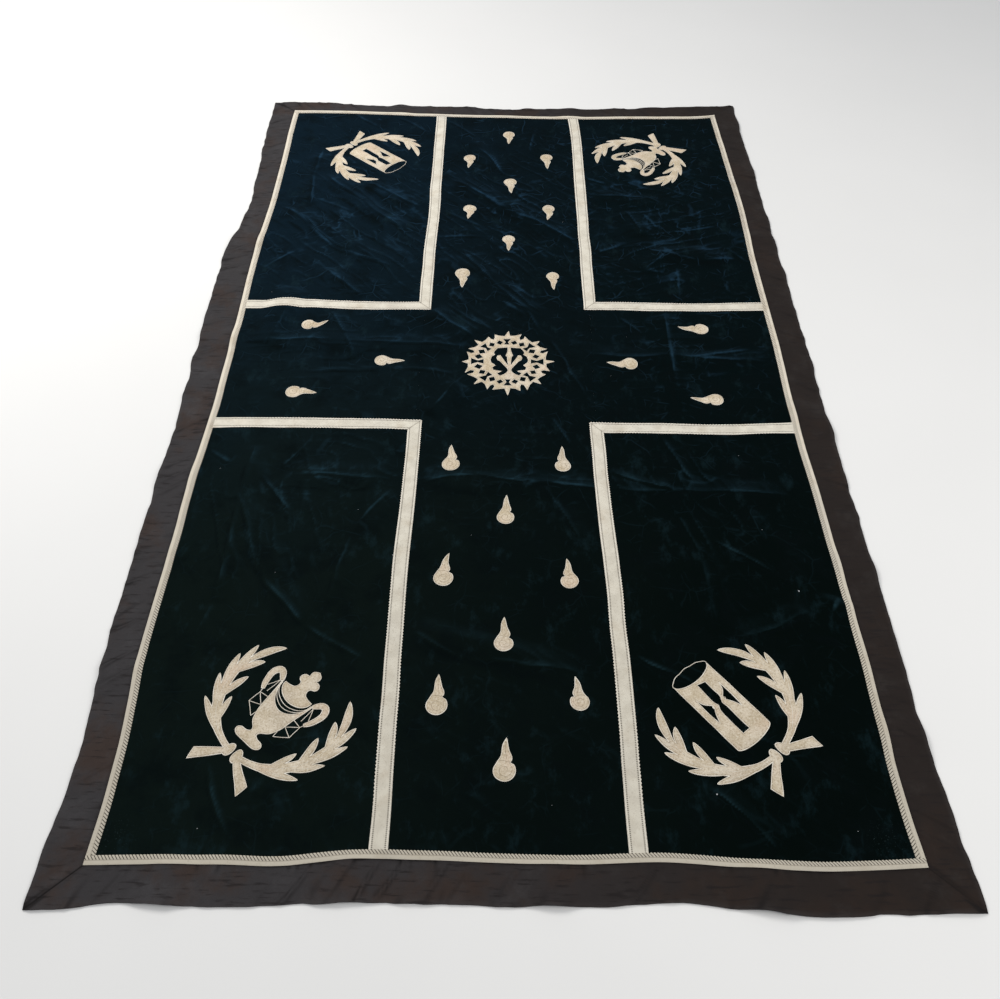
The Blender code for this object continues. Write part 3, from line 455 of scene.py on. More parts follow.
# A slanting nail from its lower side round its head, and the middle nail's right side from its point up.
SLANTING_NAIL = ((7, -28), (27, 2), (34, 6), (37, 16), (34, 26), (26, 27), (22, 17), (7, -12))
MIDDLE_NAIL = ((3, -15), (5, 4), (6, 21), (10.5, 26), (5, 44), (4, 54))
CROWN_CORD_RADIUS = 0.7 * MM

# Hourglass with its rim at +Y.
HOURGLASS_HALF = 0.051
HOURGLASS_RIM = 0.094
HOURGLASS_FOOT = -0.092
HOURGLASS_RIM_DEPTH = 0.019
HOURGLASS_FOOT_BULGE = 0.014
# Right side of the slot from its top to its foot, then its left side back up, in mm.
HOURGLASS_SLOT_RIGHT = ((14, 62), (14, 40), (15, 20), (11, 10), (7, 2), (8, -14), (7, -44), (8, -76))
HOURGLASS_SLOT_LEFT = ((-13, -75), (-13, -44), (-12, -14), (-9, -3), (-5, 4), (-8, 14), (-8, 40), (-7, 68))
HOURGLASS_CUT_UPPER = ((36, 42), (30, 25), (17, 12))
HOURGLASS_CUT_LOWER = ((17, 4), (26, -10), (35, -30))
HOURGLASS_CUT_OUTER = ((35, -30), (37, 6), (36, 42))
WAIST_BALLS = ((15, 8, 5.0), (-14, 6, 5.0))

# Urn: half widths on the way up from the foot, in mm.
URN_FOOT = ((-112, 20), (-110, 30), (-104, 37), (-97, 37), (-92, 30), (-91, 18))
URN_BODY_SIDE = ((-86, 9), (-78, 11), (-66, 26), (-50, 34), (-38, 38), (-4, 43), (38, 50))
URN_SCOOP_DEPTH = 0.055
URN_SHOULDER_HIGH = 0.040
URN_SHOULDER_HALF = 0.049
LID_BOTTOM = 10 * MM
LID_SHOULDER = 0.040
LID_HALF = 0.042
LID_SIDE = ((41, 30), (45, 18), (54, 13), (62, 15), (66, 23), (74, 26), (82, 21), (84, 10), (88, 12), (97, 11))
LID_TOP = 0.104
# Middle line of a handle, out from the urn's axis and along it, and half width, all in mm.
HANDLE = (
    (50, 36, 4.0),
    (56, 44, 6.0),
    (64, 52, 7.0),
    (74, 53, 7.5),
    (81, 44, 7.5),
    (82, 30, 6.5),
    (76, 10, 5.5),
    (68, -4, 3.5),
)
# Cords laid beside the urn on its right side, mirrored on the left, in mm.
URN_DRAPERY = (
    ((68, -4), (65, -13), (67, -43), (37, -64), (35, -50)),
    ((43, -10), (65, -13), (40, -33), (66, -43)),
    ((68, 9), (60, 24), (52, 38)),
    ((56, -2), (55, 16), (54, 33)),
)
URN_CONTOURS = (0.046, 0.038)

CORD_RADIUS = 1.0 * MM
THIN_CORD_RADIUS = 0.8 * MM
STITCH_RADIUS = 0.45 * MM
PUFF = 0.9 * MM

# Lint and specks on the velvet: x, y, and size in mm.
SPECKS = (
    (0.696, -0.804, 5.0),
    (0.428, -1.306, 4.5),
    (-0.470, -1.230, 3.0),
    (-0.280, -0.702, 4.0),
    (-0.272, -0.722, 2.5),
    (-0.560, -0.760, 2.0),
    (-0.380, -0.560, 2.2),
    (-0.760, -0.420, 2.4),
    (-0.250, -0.640, 2.0),
    (0.360, 0.110, 2.0),
    (0.620, -0.370, 2.2),
    (0.300, -0.060, 1.8),
    (-0.740, 0.320, 2.0),
    (0.190, 0.700, 2.0),
    (0.560, -0.980, 2.0),
    (-0.090, -0.640, 1.8),
    (0.090, -1.330, 2.0),
    (-0.620, -1.380, 2.2),
    (0.700, -1.380, 2.6),
    (0.640, -0.620, 2.0),
)

# Camera: the photo's point of view above the near end.
CAMERA_PLACE = (-0.012, -2.064, 1.868)
CAMERA_PITCH = 39.44
CAMERA_YAW = 0.2326
CAMERA_LENS = 33.8
CAMERA_SHIFT_UP = 0.0015


# Height of the cloth.


def soft_noise(x, y, long, wide, seed):
    """Smooth bumps between -1 and 1, with their own spacing along each axis."""
    values = np.random.default_rng(seed).uniform(-1.0, 1.0, (NOISE_CELLS, NOISE_CELLS))
    a = x / long + NOISE_CELLS / 2
    b = y / wide + NOISE_CELLS / 2
    i = np.floor(a).astype(int)
    j = np.floor(b).astype(int)
    s = a - i
    t = b - j
    s = s * s * s * (s * (s * 6 - 15) + 10)
    t = t * t * t * (t * (t * 6 - 15) + 10)
    i0 = i % NOISE_CELLS
    i1 = (i + 1) % NOISE_CELLS
    j0 = j % NOISE_CELLS
    j1 = (j + 1) % NOISE_CELLS
    near = values[i0, j0] * (1 - s) + values[i1, j0] * s
    far = values[i0, j1] * (1 - s) + values[i1, j1] * s
    return near * (1 - t) + far * t


def add_crease(total, x, y, row, width, end, sharp):
    """Add one crease's height to an array, at the places that it reaches."""
    start_x, start_y, end_x, end_y, height = row[:5]
    reach = width / 2
    inside = (x > min(start_x, end_x) - reach) & (x < max(start_x, end_x) + reach)
    inside &= (y > min(start_y, end_y) - reach) & (y < max(start_y, end_y) + reach)
    if not inside.any():
        return
    along_x = end_x - start_x
    along_y = end_y - start_y
    length = math.hypot(along_x, along_y)
    dx = x[inside] - start_x
    dy = y[inside] - start_y
    part = (dx * along_x + dy * along_y) / length**2
    aside = (dx * along_y - dy * along_x) / length / reach
    if sharp:
        aside = np.where(aside > 0, aside / STEEP_SIDE, aside)
        across = np.clip(1 - np.abs(aside), 0, 1) ** 2
    else:
        across = np.cos(math.pi / 2 * np.clip(np.abs(aside), 0, 1)) ** 2
    fade = np.clip(np.minimum(part, 1 - part) / end, 0, 1)
    total[inside] += height * MM * across * np.sin(math.pi / 2 * fade)


def broad_relief(x, y):
    total = np.zeros(x.shape)
    for row in BROAD_CREASES:
        add_crease(total, x, y, row, row[5], CREASE_END, False)
    return HIGHEST_CREASE * np.tanh(total / HIGHEST_CREASE)


def crumple(x, y):
    """Fine wrinkles in patches, each with its own way."""
    total = np.zeros(x.shape)
    for number, (middle_x, middle_y, reach, degrees, height) in enumerate(CRUMPLES):
        dx = x - middle_x
        dy = y - middle_y
        mask = np.exp(-((np.hypot(dx, dy) / reach) ** 2))
        cos = math.cos(math.radians(degrees))
        sin = math.sin(math.radians(degrees))
        along = dx * cos + dy * sin
        across = dy * cos - dx * sin
        wave = soft_noise(along, across, WRINKLE_LONG, WRINKLE_WIDE, 40 + number)
        finer = soft_noise(along, across, WRINKLE_LONG / 2, WRINKLE_WIDE / 2, 70 + number)
        ridges = np.clip(1 - 2.4 * np.abs(wave + 0.3 * finer), 0, 1)
        total += mask * ridges * height * MM
    return total


def fine_relief(x, y):
    wander_x = x + CREASE_WANDER * soft_noise(x, y, 0.12, 0.12, 1)
    wander_y = y + CREASE_WANDER * soft_noise(x, y, 0.12, 0.12, 2)
    total = np.zeros(x.shape)
    for row in SHARP_CREASES:
        add_crease(total, wander_x, wander_y, row, row[5] * MM, SHARP_END, True)
    total += crumple(wander_x, wander_y)
    total = HIGHEST_SHARP * np.tanh(total / HIGHEST_SHARP)
    total += 0.35 * MM * (1 + soft_noise(x, y, 0.05, 0.05, 3))
    return total


def velvet_top(x, y):
    return broad_relief(x, y) + fine_relief(x, y) + VELVET_THICK


# Unevenness of the plan.


def smooth_values(stations, values, place):
    """Catmull-Rom curve through a row of values, at an array of places."""
    row = np.array(values, float)
    last = len(row) - 1
    part = np.clip((place - stations[0]) / (stations[1] - stations[0]), 0, last - 1e-9)
    index = part.astype(int)
    t = part - index
    before = row[np.maximum(index - 1, 0)]
    start = row[index]
    end = row[index + 1]
    after = row[np.minimum(index + 2, last)]
    slope = (end - before) * t
    bend = (2 * before - 5 * start + 4 * end - after) * t**2
    twist = (3 * start - before - 3 * end + after) * t**3
    return 0.5 * (2 * start + slope + bend + twist)


def between_lines(lines, stations, at, along):
    """Stray at a place, read between the two lines beside it."""
    places = np.array([row[0] for row in lines])
    rows = np.array([smooth_values(stations, row[1], along) for row in lines])
    inside = np.clip(at, places[0], places[-1])
    index = np.clip(np.searchsorted(places, inside, side="right") - 1, 0, len(places) - 2)
    part = (inside - places[index]) / (places[index + 1] - places[index])
    picked = np.arange(at.size)
    low = rows.reshape(len(places), -1)[index.ravel(), picked].reshape(at.shape)
    high = rows.reshape(len(places), -1)[index.ravel() + 1, picked].reshape(at.shape)
    return (low * (1 - part) + high * part) * MM


def laid(x, y):
    """Where plan places lie on the uneven cloth."""
    move_x = between_lines(LONG_LINES, LONG_STATIONS, x, y)
    move_y = between_lines(CROSSWISE_LINES, CROSS_STATIONS, y, x)
    move_x = move_x + LINE_WOBBLE * soft_noise(x, y, 0.09, 0.09, 4)
    move_y = move_y + LINE_WOBBLE * soft_noise(x, y, 0.09, 0.09, 5)
    return x + move_x, y + move_y


def planned(x, y):
    """Plan places of points given where they lie."""
    plan_x = x
    plan_y = y
    for _ in range(3):
        real_x, real_y = laid(plan_x, plan_y)
        plan_x = plan_x + x - real_x
        plan_y = plan_y + y - real_y
    return plan_x, plan_y


# Meshes.


def add_piece(name, points, faces, material):
    data = bpy.data.meshes.new(name)
    data.from_pydata(points, [], faces)
    data.update()
    data.shade_smooth()
    data.set_sharp_from_angle(angle=math.radians(55))
    data.materials.append(material)
    piece = bpy.data.objects.new(name, data)
    bpy.context.scene.collection.objects.link(piece)
    return piece


def add_numbers(piece, name, values):
    """Store one number or three for each point, for the material to read."""
    kind, key = ("FLOAT", "value") if values.ndim == 1 else ("FLOAT_VECTOR", "vector")
    attribute = piece.data.attributes.new(name, kind, "POINT")
    attribute.data.foreach_set(key, values.astype(np.float32).ravel())


def rim_faces(upper, lower, skip_i, skip_j):
    """Faces that close a sheet's rim, each from one lower edge to the upper ones above it."""
    last_i = upper.shape[0] - 1
    last_j = upper.shape[1] - 1
    sides = (
        (upper[:, 0], lower[:, 0], skip_i),
        (upper[last_i, :], lower[-1, :], skip_j),
        (upper[::-1, last_j], lower[::-1, -1], skip_i),
        (upper[0, ::-1], lower[0, ::-1], skip_j),
    )
    faces = []
    for top, bottom, skip in sides:
        for k in range(len(bottom) - 1):
            chain = top[k * skip : (k + 1) * skip + 1]
            faces.append([int(bottom[k]), int(bottom[k + 1])] + [int(v) for v in chain[::-1]])
    return faces


def quads(index):
    """Faces of a grid of point numbers, counter-clockwise from above."""
    corners = (index[:-1, :-1], index[1:, :-1], index[1:, 1:], index[:-1, 1:])
    return np.stack([c.ravel() for c in corners], axis=1)


def grid_mesh(x, y, top, bottom, skip_i, skip_j, numbers):
    """Points, faces and stored numbers of a closed sheet from a grid of plan places.

    Its upper layer is fine, and its lower one is on every few lines of the grid.
    """
    across = (x[-1, 0] - x[0, 0], y[-1, 0] - y[0, 0])
    along = (x[0, -1] - x[0, 0], y[0, -1] - y[0, 0])
    arrays = [x, y, top, bottom] + list(numbers.values())
    if across[0] * along[1] - across[1] * along[0] < 0:
        arrays = [a[::-1] for a in arrays]
    x, y, top, bottom = arrays[:4]
    real_x, real_y = laid(x, y)
    upper = np.arange(x.size).reshape(x.shape)
    coarse = (slice(None, None, skip_i), slice(None, None, skip_j))
    lower = x.size + np.arange(x[coarse].size).reshape(x[coarse].shape)
    points = np.concatenate(
        [
            np.stack([real_x, real_y, top], axis=-1).reshape(-1, 3),
            np.stack([real_x[coarse], real_y[coarse], bottom[coarse]], axis=-1).reshape(-1, 3),
        ]
    )
    faces = quads(upper).tolist() + quads(lower)[:, ::-1].tolist()
    faces += rim_faces(upper, lower, skip_i, skip_j)
    stored = {}
    for key, values in zip(numbers, arrays[4:]):
        spread = values.reshape(-1, *values.shape[2:])
        under = values[coarse].reshape(-1, *values.shape[2:])
        stored[key] = np.concatenate([spread, under])
    return points, faces, stored


def add_sheets(name, meshes, material):
    """One piece of one or more closed sheets."""
    first = 0
    faces = []
    for points, own_faces, _ in meshes:
        faces += [[first + v for v in face] for face in own_faces]
        first += len(points)
    points = np.concatenate([mesh[0] for mesh in meshes])
    piece = add_piece(name, points.tolist(), faces, material)
    for key in meshes[0][2]:
        add_numbers(piece, key, np.concatenate([mesh[2][key] for mesh in meshes]))
    return piece


def even_count(length, step, multiple):
    return max(1, math.ceil(length / step / multiple)) * multiple


# Velvet.


def painted_crest_sheen(x, y):
    """Painted sheen: thin light lines along the crests of creases and wrinkles."""
    wander_x = x + CREASE_WANDER * soft_noise(x, y, 0.12, 0.12, 1)
    wander_y = y + CREASE_WANDER * soft_noise(x, y, 0.12, 0.12, 2)
    total = np.zeros(x.shape)
    for row in SHARP_CREASES:
        line = (*row[:4], row[4] / 3.0 / MM)
        add_crease(total, wander_x, wander_y, line, CREST_WIDTH, SHARP_END, False)
    for number, (middle_x, middle_y, reach, degrees, height) in enumerate(CRUMPLES):
        dx = wander_x - middle_x
        dy = wander_y - middle_y
        mask = np.exp(-((np.hypot(dx, dy) / reach) ** 2))
        for turn, share in ((0, 1.0), (64, 0.7)):
            cos = math.cos(math.radians(degrees + turn))
            sin = math.sin(math.radians(degrees + turn))
            along = dx * cos + dy * sin
            across = dy * cos - dx * sin
            wave = soft_noise(along, across, WRINKLE_LONG, WRINKLE_WIDE, 40 + number + turn)
            finer = soft_noise(along, across, WRINKLE_LONG / 2, WRINKLE_WIDE / 2, 70 + number + turn)
            lines = np.clip(1 - 8.0 * np.abs(wave + 0.3 * finer), 0, 1)
            total += share * mask * lines * height / 2.0
    broken = np.clip(0.62 + 0.95 * soft_noise(x, y, 0.055, 0.055, 7), 0, 1.2)
    return np.clip(total * broken, 0, 1)


CREST_WIDTH = 13 * MM
SHEEN_SLOPE = 0.09


def painted_velvet_sheen(x, y, fine):
    """Painted sheen and shade of the pile, from -1 to 1: lighter on slopes that face the far end and the right,
    darker on those that face the other way, and lighter on its crests.
    """
    slope_x = np.gradient(fine, axis=0) / np.gradient(x, axis=0)
    slope_y = np.gradient(fine, axis=1) / np.gradient(y, axis=1)
    slopes = np.clip((-0.9 * slope_y - 0.45 * slope_x) / SHEEN_SLOPE, -1, 1)
    return np.clip(0.95 * painted_crest_sheen(x, y) + 0.28 * slopes, -1, 1)


def make_velvet(materials):
    pieces = {}
    widths = (
        ("velvet_left", SEAM_LEFT, CROSS_LEFT),
        ("velvet_centre", CROSS_LEFT, CROSS_RIGHT),
        ("velvet_right", CROSS_RIGHT, SEAM_RIGHT),
    )
    near = SEAM_NEAR + HALF_GAP
    far = SEAM_FAR - HALF_GAP
    for node, left, right in widths:
        count_x = even_count(right - left, VELVET_STEP, LOWER_SKIP)
        count_y = even_count(far - near, VELVET_STEP, LOWER_SKIP)
        xs = np.linspace(left + HALF_GAP, right - HALF_GAP, count_x + 1)
        ys = np.linspace(near, far, count_y + 1)
        x, y = np.meshgrid(xs, ys, indexing="ij")
        bottom = broad_relief(x, y)
        fine = fine_relief(x, y)
        # Painted sheen and shade of the pile, stored at its points for the material.
        painted_sheen = painted_velvet_sheen(x, y, fine + 0.4 * bottom)
        top = bottom + fine + VELVET_THICK
        top[[0, -1], :] -= 0.9 * MM
        mesh = grid_mesh(x, y, top, bottom, LOWER_SKIP, LOWER_SKIP, {"painted_sheen": painted_sheen})
        piece = add_sheets(node + "_cloth", [mesh], materials[node])
        pieces[node] = declare(piece, [node], (right - left, SEAM_FAR - SEAM_NEAR))
    return pieces


# Border.


def strip_grid(corners, across, count):
    """Plan places of a strip: corners are start at its two sides, then end at the same two sides."""
    start_a, start_b, end_a, end_b = [np.array(corner, float) for corner in corners]
    t = np.array(across)[:, None, None]
    s = np.linspace(0, 1, count + 1)[None, :, None]
    start = start_a * (1 - t) + start_b * t
    end = end_a * (1 - t) + end_b * t
    places = start * (1 - s) + end * s
    return places[..., 0], places[..., 1]


def border_relief(along, part, seed):
    """Puckers of the thin cotton, from the seam (part 0) to the hem (part 1)."""
    at_seam = np.clip(1 - part * 2.2, 0, 1)
    at_hem = np.clip(part * 1.6 - 0.6, 0, 1)
    fine = soft_noise(along, part * 0.08, 0.022, 0.05, seed)
    broad = soft_noise(along, part * 0.08, 0.085, 0.09, seed + 1)
    slanting = soft_noise(along + 0.05 * part, part * 0.08, 0.045, 0.16, seed + 2)
    total = 1.4 * MM * np.clip(fine, -0.2, 1) * (at_seam + 0.7 * at_hem)
    total += 2.6 * MM * np.clip(broad, 0, 1) * (0.3 + at_hem)
    total += 1.8 * MM * np.clip(1 - 2.2 * np.abs(slanting), 0, 1) * (0.35 + 0.65 * part)
    total += 0.5 * MM * (part > HEM_FOLD_START)
    return total + 0.3 * MM


def border_shade(rise, along, part, mitre, side_seam):
    """How dark the border is: painted shade in its folds and beside its seam, and a dark line along a mitre."""
    step = np.gradient(rise, axis=1) / np.maximum(np.abs(np.gradient(along, axis=1)), 1e-6)
    folds = np.clip(np.abs(step) / 0.17, 0, 1) ** 2
    beside = 0.35 * np.clip(1 - part / 0.10, 0, 1)
    corner = side_seam * np.clip(1 - mitre / (4.0 * MM), 0, 1)
    return np.clip(np.maximum(folds * 0.8 + beside, corner), 0, 1)


HEM_FOLD_START = 0.89
MITRE_DARK_LEFT = 1.0
MITRE_DARK_RIGHT = 0.45
HEM_WAVES = ((0.070, 3.4 * MM), (0.026, 1.3 * MM))


def make_border(material):
    g = HALF_GAP
    strips = (
        ("left", (SEAM_LEFT - g, SEAM_NEAR), (HEM_LEFT, HEM_NEAR), (SEAM_LEFT - g, SEAM_FAR), (HEM_LEFT, HEM_FAR), (-1, 0)),
        ("right", (SEAM_RIGHT + g, SEAM_NEAR), (HEM_RIGHT, HEM_NEAR), (SEAM_RIGHT + g, SEAM_FAR), (HEM_RIGHT, HEM_FAR), (1, 0)),
        ("near", (SEAM_LEFT, SEAM_NEAR - g), (HEM_LEFT, HEM_NEAR), (SEAM_RIGHT, SEAM_NEAR - g), (HEM_RIGHT, HEM_NEAR), (0, -1)),
        ("far", (SEAM_LEFT, SEAM_FAR + g), (HEM_LEFT, HEM_FAR), (SEAM_RIGHT, SEAM_FAR + g), (HEM_RIGHT, HEM_FAR), (0, 1)),
    )
    pieces = []
    for number, (side, start_a, start_b, end_a, end_b, out) in enumerate(strips):
        width = math.dist(start_a, start_b) * math.sqrt(0.5)
        length = math.dist(start_b, end_b)
        across_count = even_count(width, BORDER_STEP, LOWER_SKIP)
        count = even_count(length, BORDER_STEP, LOWER_SKIP)
        across = np.linspace(0, 1, across_count + 1)
        x, y = strip_grid((start_a, start_b, end_a, end_b), across, count)
        part = np.repeat(across[:, None], count + 1, axis=1)
        along = y if out[0] else x
        seed = 100 + 10 * number
        rise = border_relief(along, part, seed)
        mitre = np.minimum(np.arange(count + 1), np.arange(count, -1, -1))[None, :] * length / count
        rise = rise * np.clip(mitre / 0.012, 0.15, 1)
        wave = sum(depth * soft_noise(along, part, pitch, 9.0, seed + 5 + k) for k, (pitch, depth) in enumerate(HEM_WAVES))
        wave = wave * part**3 * np.clip(mitre / 0.03, 0, 1)
        low = broad_relief(x, y)
        x = x + out[0] * wave
        y = y + out[1] * wave
        node = "border_" + side
        seams = np.where(x < 0, MITRE_DARK_LEFT, MITRE_DARK_RIGHT)
        # Painted shade in the folds and beside the seam, with the dark mitre lines.
        shade = border_shade(rise, along, part, mitre, seams)
        lay = np.stack([part, along, shade], axis=-1)
        top = low + BORDER_THICK + rise
        mesh = grid_mesh(x, y, top, low, LOWER_SKIP, LOWER_SKIP, {"lay": lay})
        piece = add_sheets(node + "_cloth", [mesh], material)
        area = width * (length + math.dist(start_a, end_a)) / 2
        pieces.append(declare(piece, [node], (width, length), area))
    return pieces


# Tapes.


def tape_arm(start, end, across_way, start_slant, end_slant, width, profile, step):
    """Plan grid of one straight arm, whose ends may be cut at 45 degrees."""
    start = np.array(start, float)
    end = np.array(end, float)
    along_way = (end - start) / np.linalg.norm(end - start)
    across_way = np.array(across_way, float)
    half = width / 2
    corners = []
    for place, slant in ((start, start_slant), (end, end_slant)):
        for side in (-1, 1):
            corners.append(place + across_way * side * half + along_way * slant * side * half)
    across = [row[0] for row in profile]
    count = even_count(np.linalg.norm(end - start), step, LOWER_SKIP)
    x, y = strip_grid(corners, across, count)
    places = np.stack([x, y], axis=-1) - start
    along = places @ along_way
    aside = places @ across_way
    rise = np.repeat(np.array([row[1] for row in profile])[:, None] * MM, count + 1, axis=1)
    return x, y, along, aside, rise


def tape_mesh(arm, across_way, reach, bumps, seam=0.0):
    """One arm of tape as a closed sheet, with its edge waved and its face bumped."""
    x, y, along, aside, rise = arm
    low = velvet_top(x, y) + SEWN_GAP
    x = x + across_way[0] * reach
    y = y + across_way[1] * reach
    top = low + TAPE_THICK + rise + bumps
    lay = np.stack([aside, along, np.zeros_like(aside) + seam], axis=-1)
    return grid_mesh(x, y, top, low, LOWER_SKIP, LOWER_SKIP, {"lay": lay})


def picot_edges(aside, along, width):
    """Waved edges of the wide tape, with a loop at each wave."""
    side = np.sign(aside)
    edge = np.clip((np.abs(aside) - width * 0.40) / (width * 0.10), 0, 1)
    loop = np.abs(np.cos(math.pi * along / PICOT_PITCH))
    reach = side * edge * PICOT_REACH * (loop - 0.5)
    groove = np.exp(-(((np.abs(aside) - width * 0.37) / (1.3 * MM)) ** 2))
    bumps = 0.35 * MM * edge * loop - 0.35 * MM * groove * loop
    return reach, bumps


def rope_edges(aside, along, width):
    """Edging: two plain ribs on its outer half, and slanting scallops on its inner half."""
    inner = np.clip(aside / (width * 0.5), 0, 1)
    phase = (along + ROPE_SLANT * aside) / ROPE_PITCH
    loop = np.abs(np.cos(math.pi * phase))
    reach = ROPE_REACH * inner**2 * (loop - 0.6)
    bumps = 0.55 * MM * np.clip(inner * 3, 0, 1) * (loop - 0.45)
    return reach, bumps


def make_cross(material):
    half = CROSS_TAPE_WIDTH / 2
    pieces = []
    for side, long_x, hand, outer_x in (
        ("left", CROSS_LEFT, -1, SEAM_LEFT + EDGING_WIDTH),
        ("right", CROSS_RIGHT, 1, SEAM_RIGHT - EDGING_WIDTH),
    ):
        for end, cross_y, way, outer_y in (
            ("far", CROSS_FAR, 1, SEAM_FAR - EDGING_WIDTH),
            ("near", CROSS_NEAR, -1, SEAM_NEAR + EDGING_WIDTH),
        ):
            node = "cross_" + end + "_" + side
            corner = (long_x, cross_y)
            arms = (
                ((long_x, outer_y - way * HALF_GAP), (-hand, 0)),
                ((outer_x - hand * HALF_GAP, cross_y), (0, -way)),
            )
            meshes = []
            length = 0.0
            for tip, across_way in arms:
                arm = tape_arm(tip, corner, across_way, 0, 1, CROSS_TAPE_WIDTH, WIDE_TAPE_ACROSS, TAPE_STEP)
                reach, bumps = picot_edges(arm[3], arm[2], CROSS_TAPE_WIDTH)
                near_corner = math.dist(tip, corner) + arm[3] - arm[2]
                seam = np.exp(-((near_corner / (2.0 * MM)) ** 2))
                meshes.append(tape_mesh(arm, across_way, reach, bumps - 0.6 * MM * seam, seam))
                length += math.dist(tip, corner)
            piece = add_sheets(node + "_tape", meshes, material)
            pieces.append(declare(piece, [node], (CROSS_TAPE_WIDTH, length + half)))
    return pieces


def make_edging(material, velvet):
    inner_near = SEAM_NEAR + EDGING_WIDTH
    inner_far = SEAM_FAR - EDGING_WIDTH
    half = EDGING_WIDTH / 2
    g = HALF_GAP
    strips = (
        ("left", (SEAM_LEFT + half, inner_near + g), (SEAM_LEFT + half, inner_far - g), (1, 0), ["velvet_left"]),
        ("right", (SEAM_RIGHT - half, inner_near + g), (SEAM_RIGHT - half, inner_far - g), (-1, 0), ["velvet_right"]),
        ("near", (SEAM_LEFT, SEAM_NEAR + half), (SEAM_RIGHT, SEAM_NEAR + half), (0, 1), list(velvet)),
        ("far", (SEAM_LEFT, SEAM_FAR - half), (SEAM_RIGHT, SEAM_FAR - half), (0, -1), list(velvet)),
    )
    pieces = []
    for side, start, end, across_way, below in strips:
        arm = tape_arm(start, end, across_way, 0, 0, EDGING_WIDTH, EDGING_ACROSS, EDGING_STEP)
        reach, bumps = rope_edges(arm[3], arm[2], EDGING_WIDTH)
        node = "edging_" + side
        piece = add_sheets(node + "_tape", [tape_mesh(arm, across_way, reach, bumps)], material)
        flat = (EDGING_WIDTH, math.dist(start, end))
        pieces.append(declare(piece, [node], flat))
    return pieces


# Outlines of the cut pieces, in metres, in a frame of their own.


def bent_line(points, step=OUTLINE_STEP):
    """Open smooth line through a few points, with places about a step apart."""
    rows = np.array(points, float)
    before = 2 * rows[0] - rows[1]
    after = 2 * rows[-1] - rows[-2]
    rows = np.vstack([before, rows, after])
    line = []
    for k in range(len(rows) - 3):
        a, b, c, d = rows[k : k + 4]
        count = max(1, round(np.linalg.norm((c - b)[:2]) / step))
        for n in range(count):
            t = n / count
            slope = (c - a) * t
            bend = (2 * a - 5 * b + 4 * c - d) * t**2
            twist = (3 * b - a - 3 * c + d) * t**3
            line.append(tuple(0.5 * (2 * b + slope + bend + twist)))
    line.append(tuple(rows[-2]))
    return line


def straight_line(points, step=OUTLINE_STEP):
    """Open line with straight sides, with places about a step apart."""
    line = []
    for start, end in zip(points, points[1:]):
        start = np.array(start)
        end = np.array(end)
        count = max(1, round(np.linalg.norm(end - start) / step))
        line += [tuple(start + (end - start) * n / count) for n in range(count)]
    line.append(tuple(points[-1]))
    return line


def straight_loop(points):
    return straight_line(list(points) + [points[0]])[:-1]


def bent_loop(points):
    """Closed smooth line through a few points."""
    count = len(points)
    wrapped = list(points[-2:]) + list(points) + list(points[:3])
    line = bent_line(wrapped)
    start = min(range(len(line)), key=lambda n: math.dist(line[n], points[0]) + n * 1e-9)
    end = max(
        (n for n in range(len(line)) if n > start and math.dist(line[n], points[0]) < 1e-9),
        default=start + count,
    )
    return line[start:end]


def in_metres(rows):
    return [tuple(value * MM for value in row) for row in rows]


def arc(middle, radius, start, end):
    """Places along an arc, from one angle to another in degrees."""
    count = max(2, round(math.radians(abs(end - start)) * radius / OUTLINE_STEP))
    angles = [math.radians(start + (end - start) * n / count) for n in range(count + 1)]
    return [(middle[0] + radius * math.cos(a), middle[1] + radius * math.sin(a)) for a in angles]


def strip_outline(line, halves):
    """Outline of a strip along a line, with a half width at each of its places."""
    rows = np.array(line)
    along = np.gradient(rows, axis=0)
    along /= np.linalg.norm(along, axis=1)[:, None]
    across = np.stack([-along[:, 1], along[:, 0]], axis=1) * np.array(halves)[:, None]
    return [tuple(p) for p in rows + across] + [tuple(p) for p in (rows - across)[::-1]]


def tear_place(row, hand, lean, length, width):
    """Point of a tear from its part of the length and of the width, leaned towards the tip."""
    part, aside = row
    along = max(0.0, (part - TEAR_LEAN_FROM) / (1 - TEAR_LEAN_FROM))
    return (part - 0.5) * length, hand * (aside + lean * along**1.5) * width


def tear_loops(hand, lean, length, width):
    """A round drop whose tail narrows and leans, pointing along +X, with a notch beside its lobe."""
    def place(row):
        return tear_place(row, hand, lean, length, width)

    middle = place((TEAR_BULB_MIDDLE * 100 * MM / length, 0.0))
    bulb = arc(middle, width / 2, hand * TEAR_BULB_ENDS, hand * (360 - TEAR_BULB_ENDS))
    plain = bent_line([bulb[-1]] + [place(row) for row in TEAR_PLAIN_SIDE] + [place((1.0, 0.0))])
    lobed = bent_line([place((1.0, 0.0))] + [place(row) for row in TEAR_LOBED_SIDE] + [place(TEAR_NOTCH)])
    return [bulb[:-1] + plain[:-1] + lobed]


def tear_stitches(hand, lean, length, width):
    """Spiral in the round end, an arc from the notch and a line out into the tail."""
    middle = tear_place((TEAR_BULB_MIDDLE * 100 * MM / length, 0.0), hand, lean, length, width)
    spiral = []
    for n in range(27):
        turn = n / 26
        angle = math.radians(-40 - 500 * turn)
        radius = width * (0.37 - 0.29 * turn)
        spiral.append((middle[0] + radius * math.cos(angle), middle[1] - hand * radius * math.sin(angle)))
    root = ((0.43, 0.22), (0.46, 0.05), (0.47, -0.15), (0.46, -0.28))
    tail = ((0.52, 0.10), (0.64, 0.05), (0.78, 0.01), (0.92, 0.0))
    lines = [bent_line([tear_place(row, hand, lean, length, width) for row in rows]) for rows in (root, tail)]
    return [spiral] + lines


def on_circle(degrees, radius, hand):
    """Point of an emblem whose open side is at +Y, from its angle past the knots."""
    angle = math.radians(-90 - hand * degrees)
    return radius * math.cos(angle), radius * math.sin(angle)


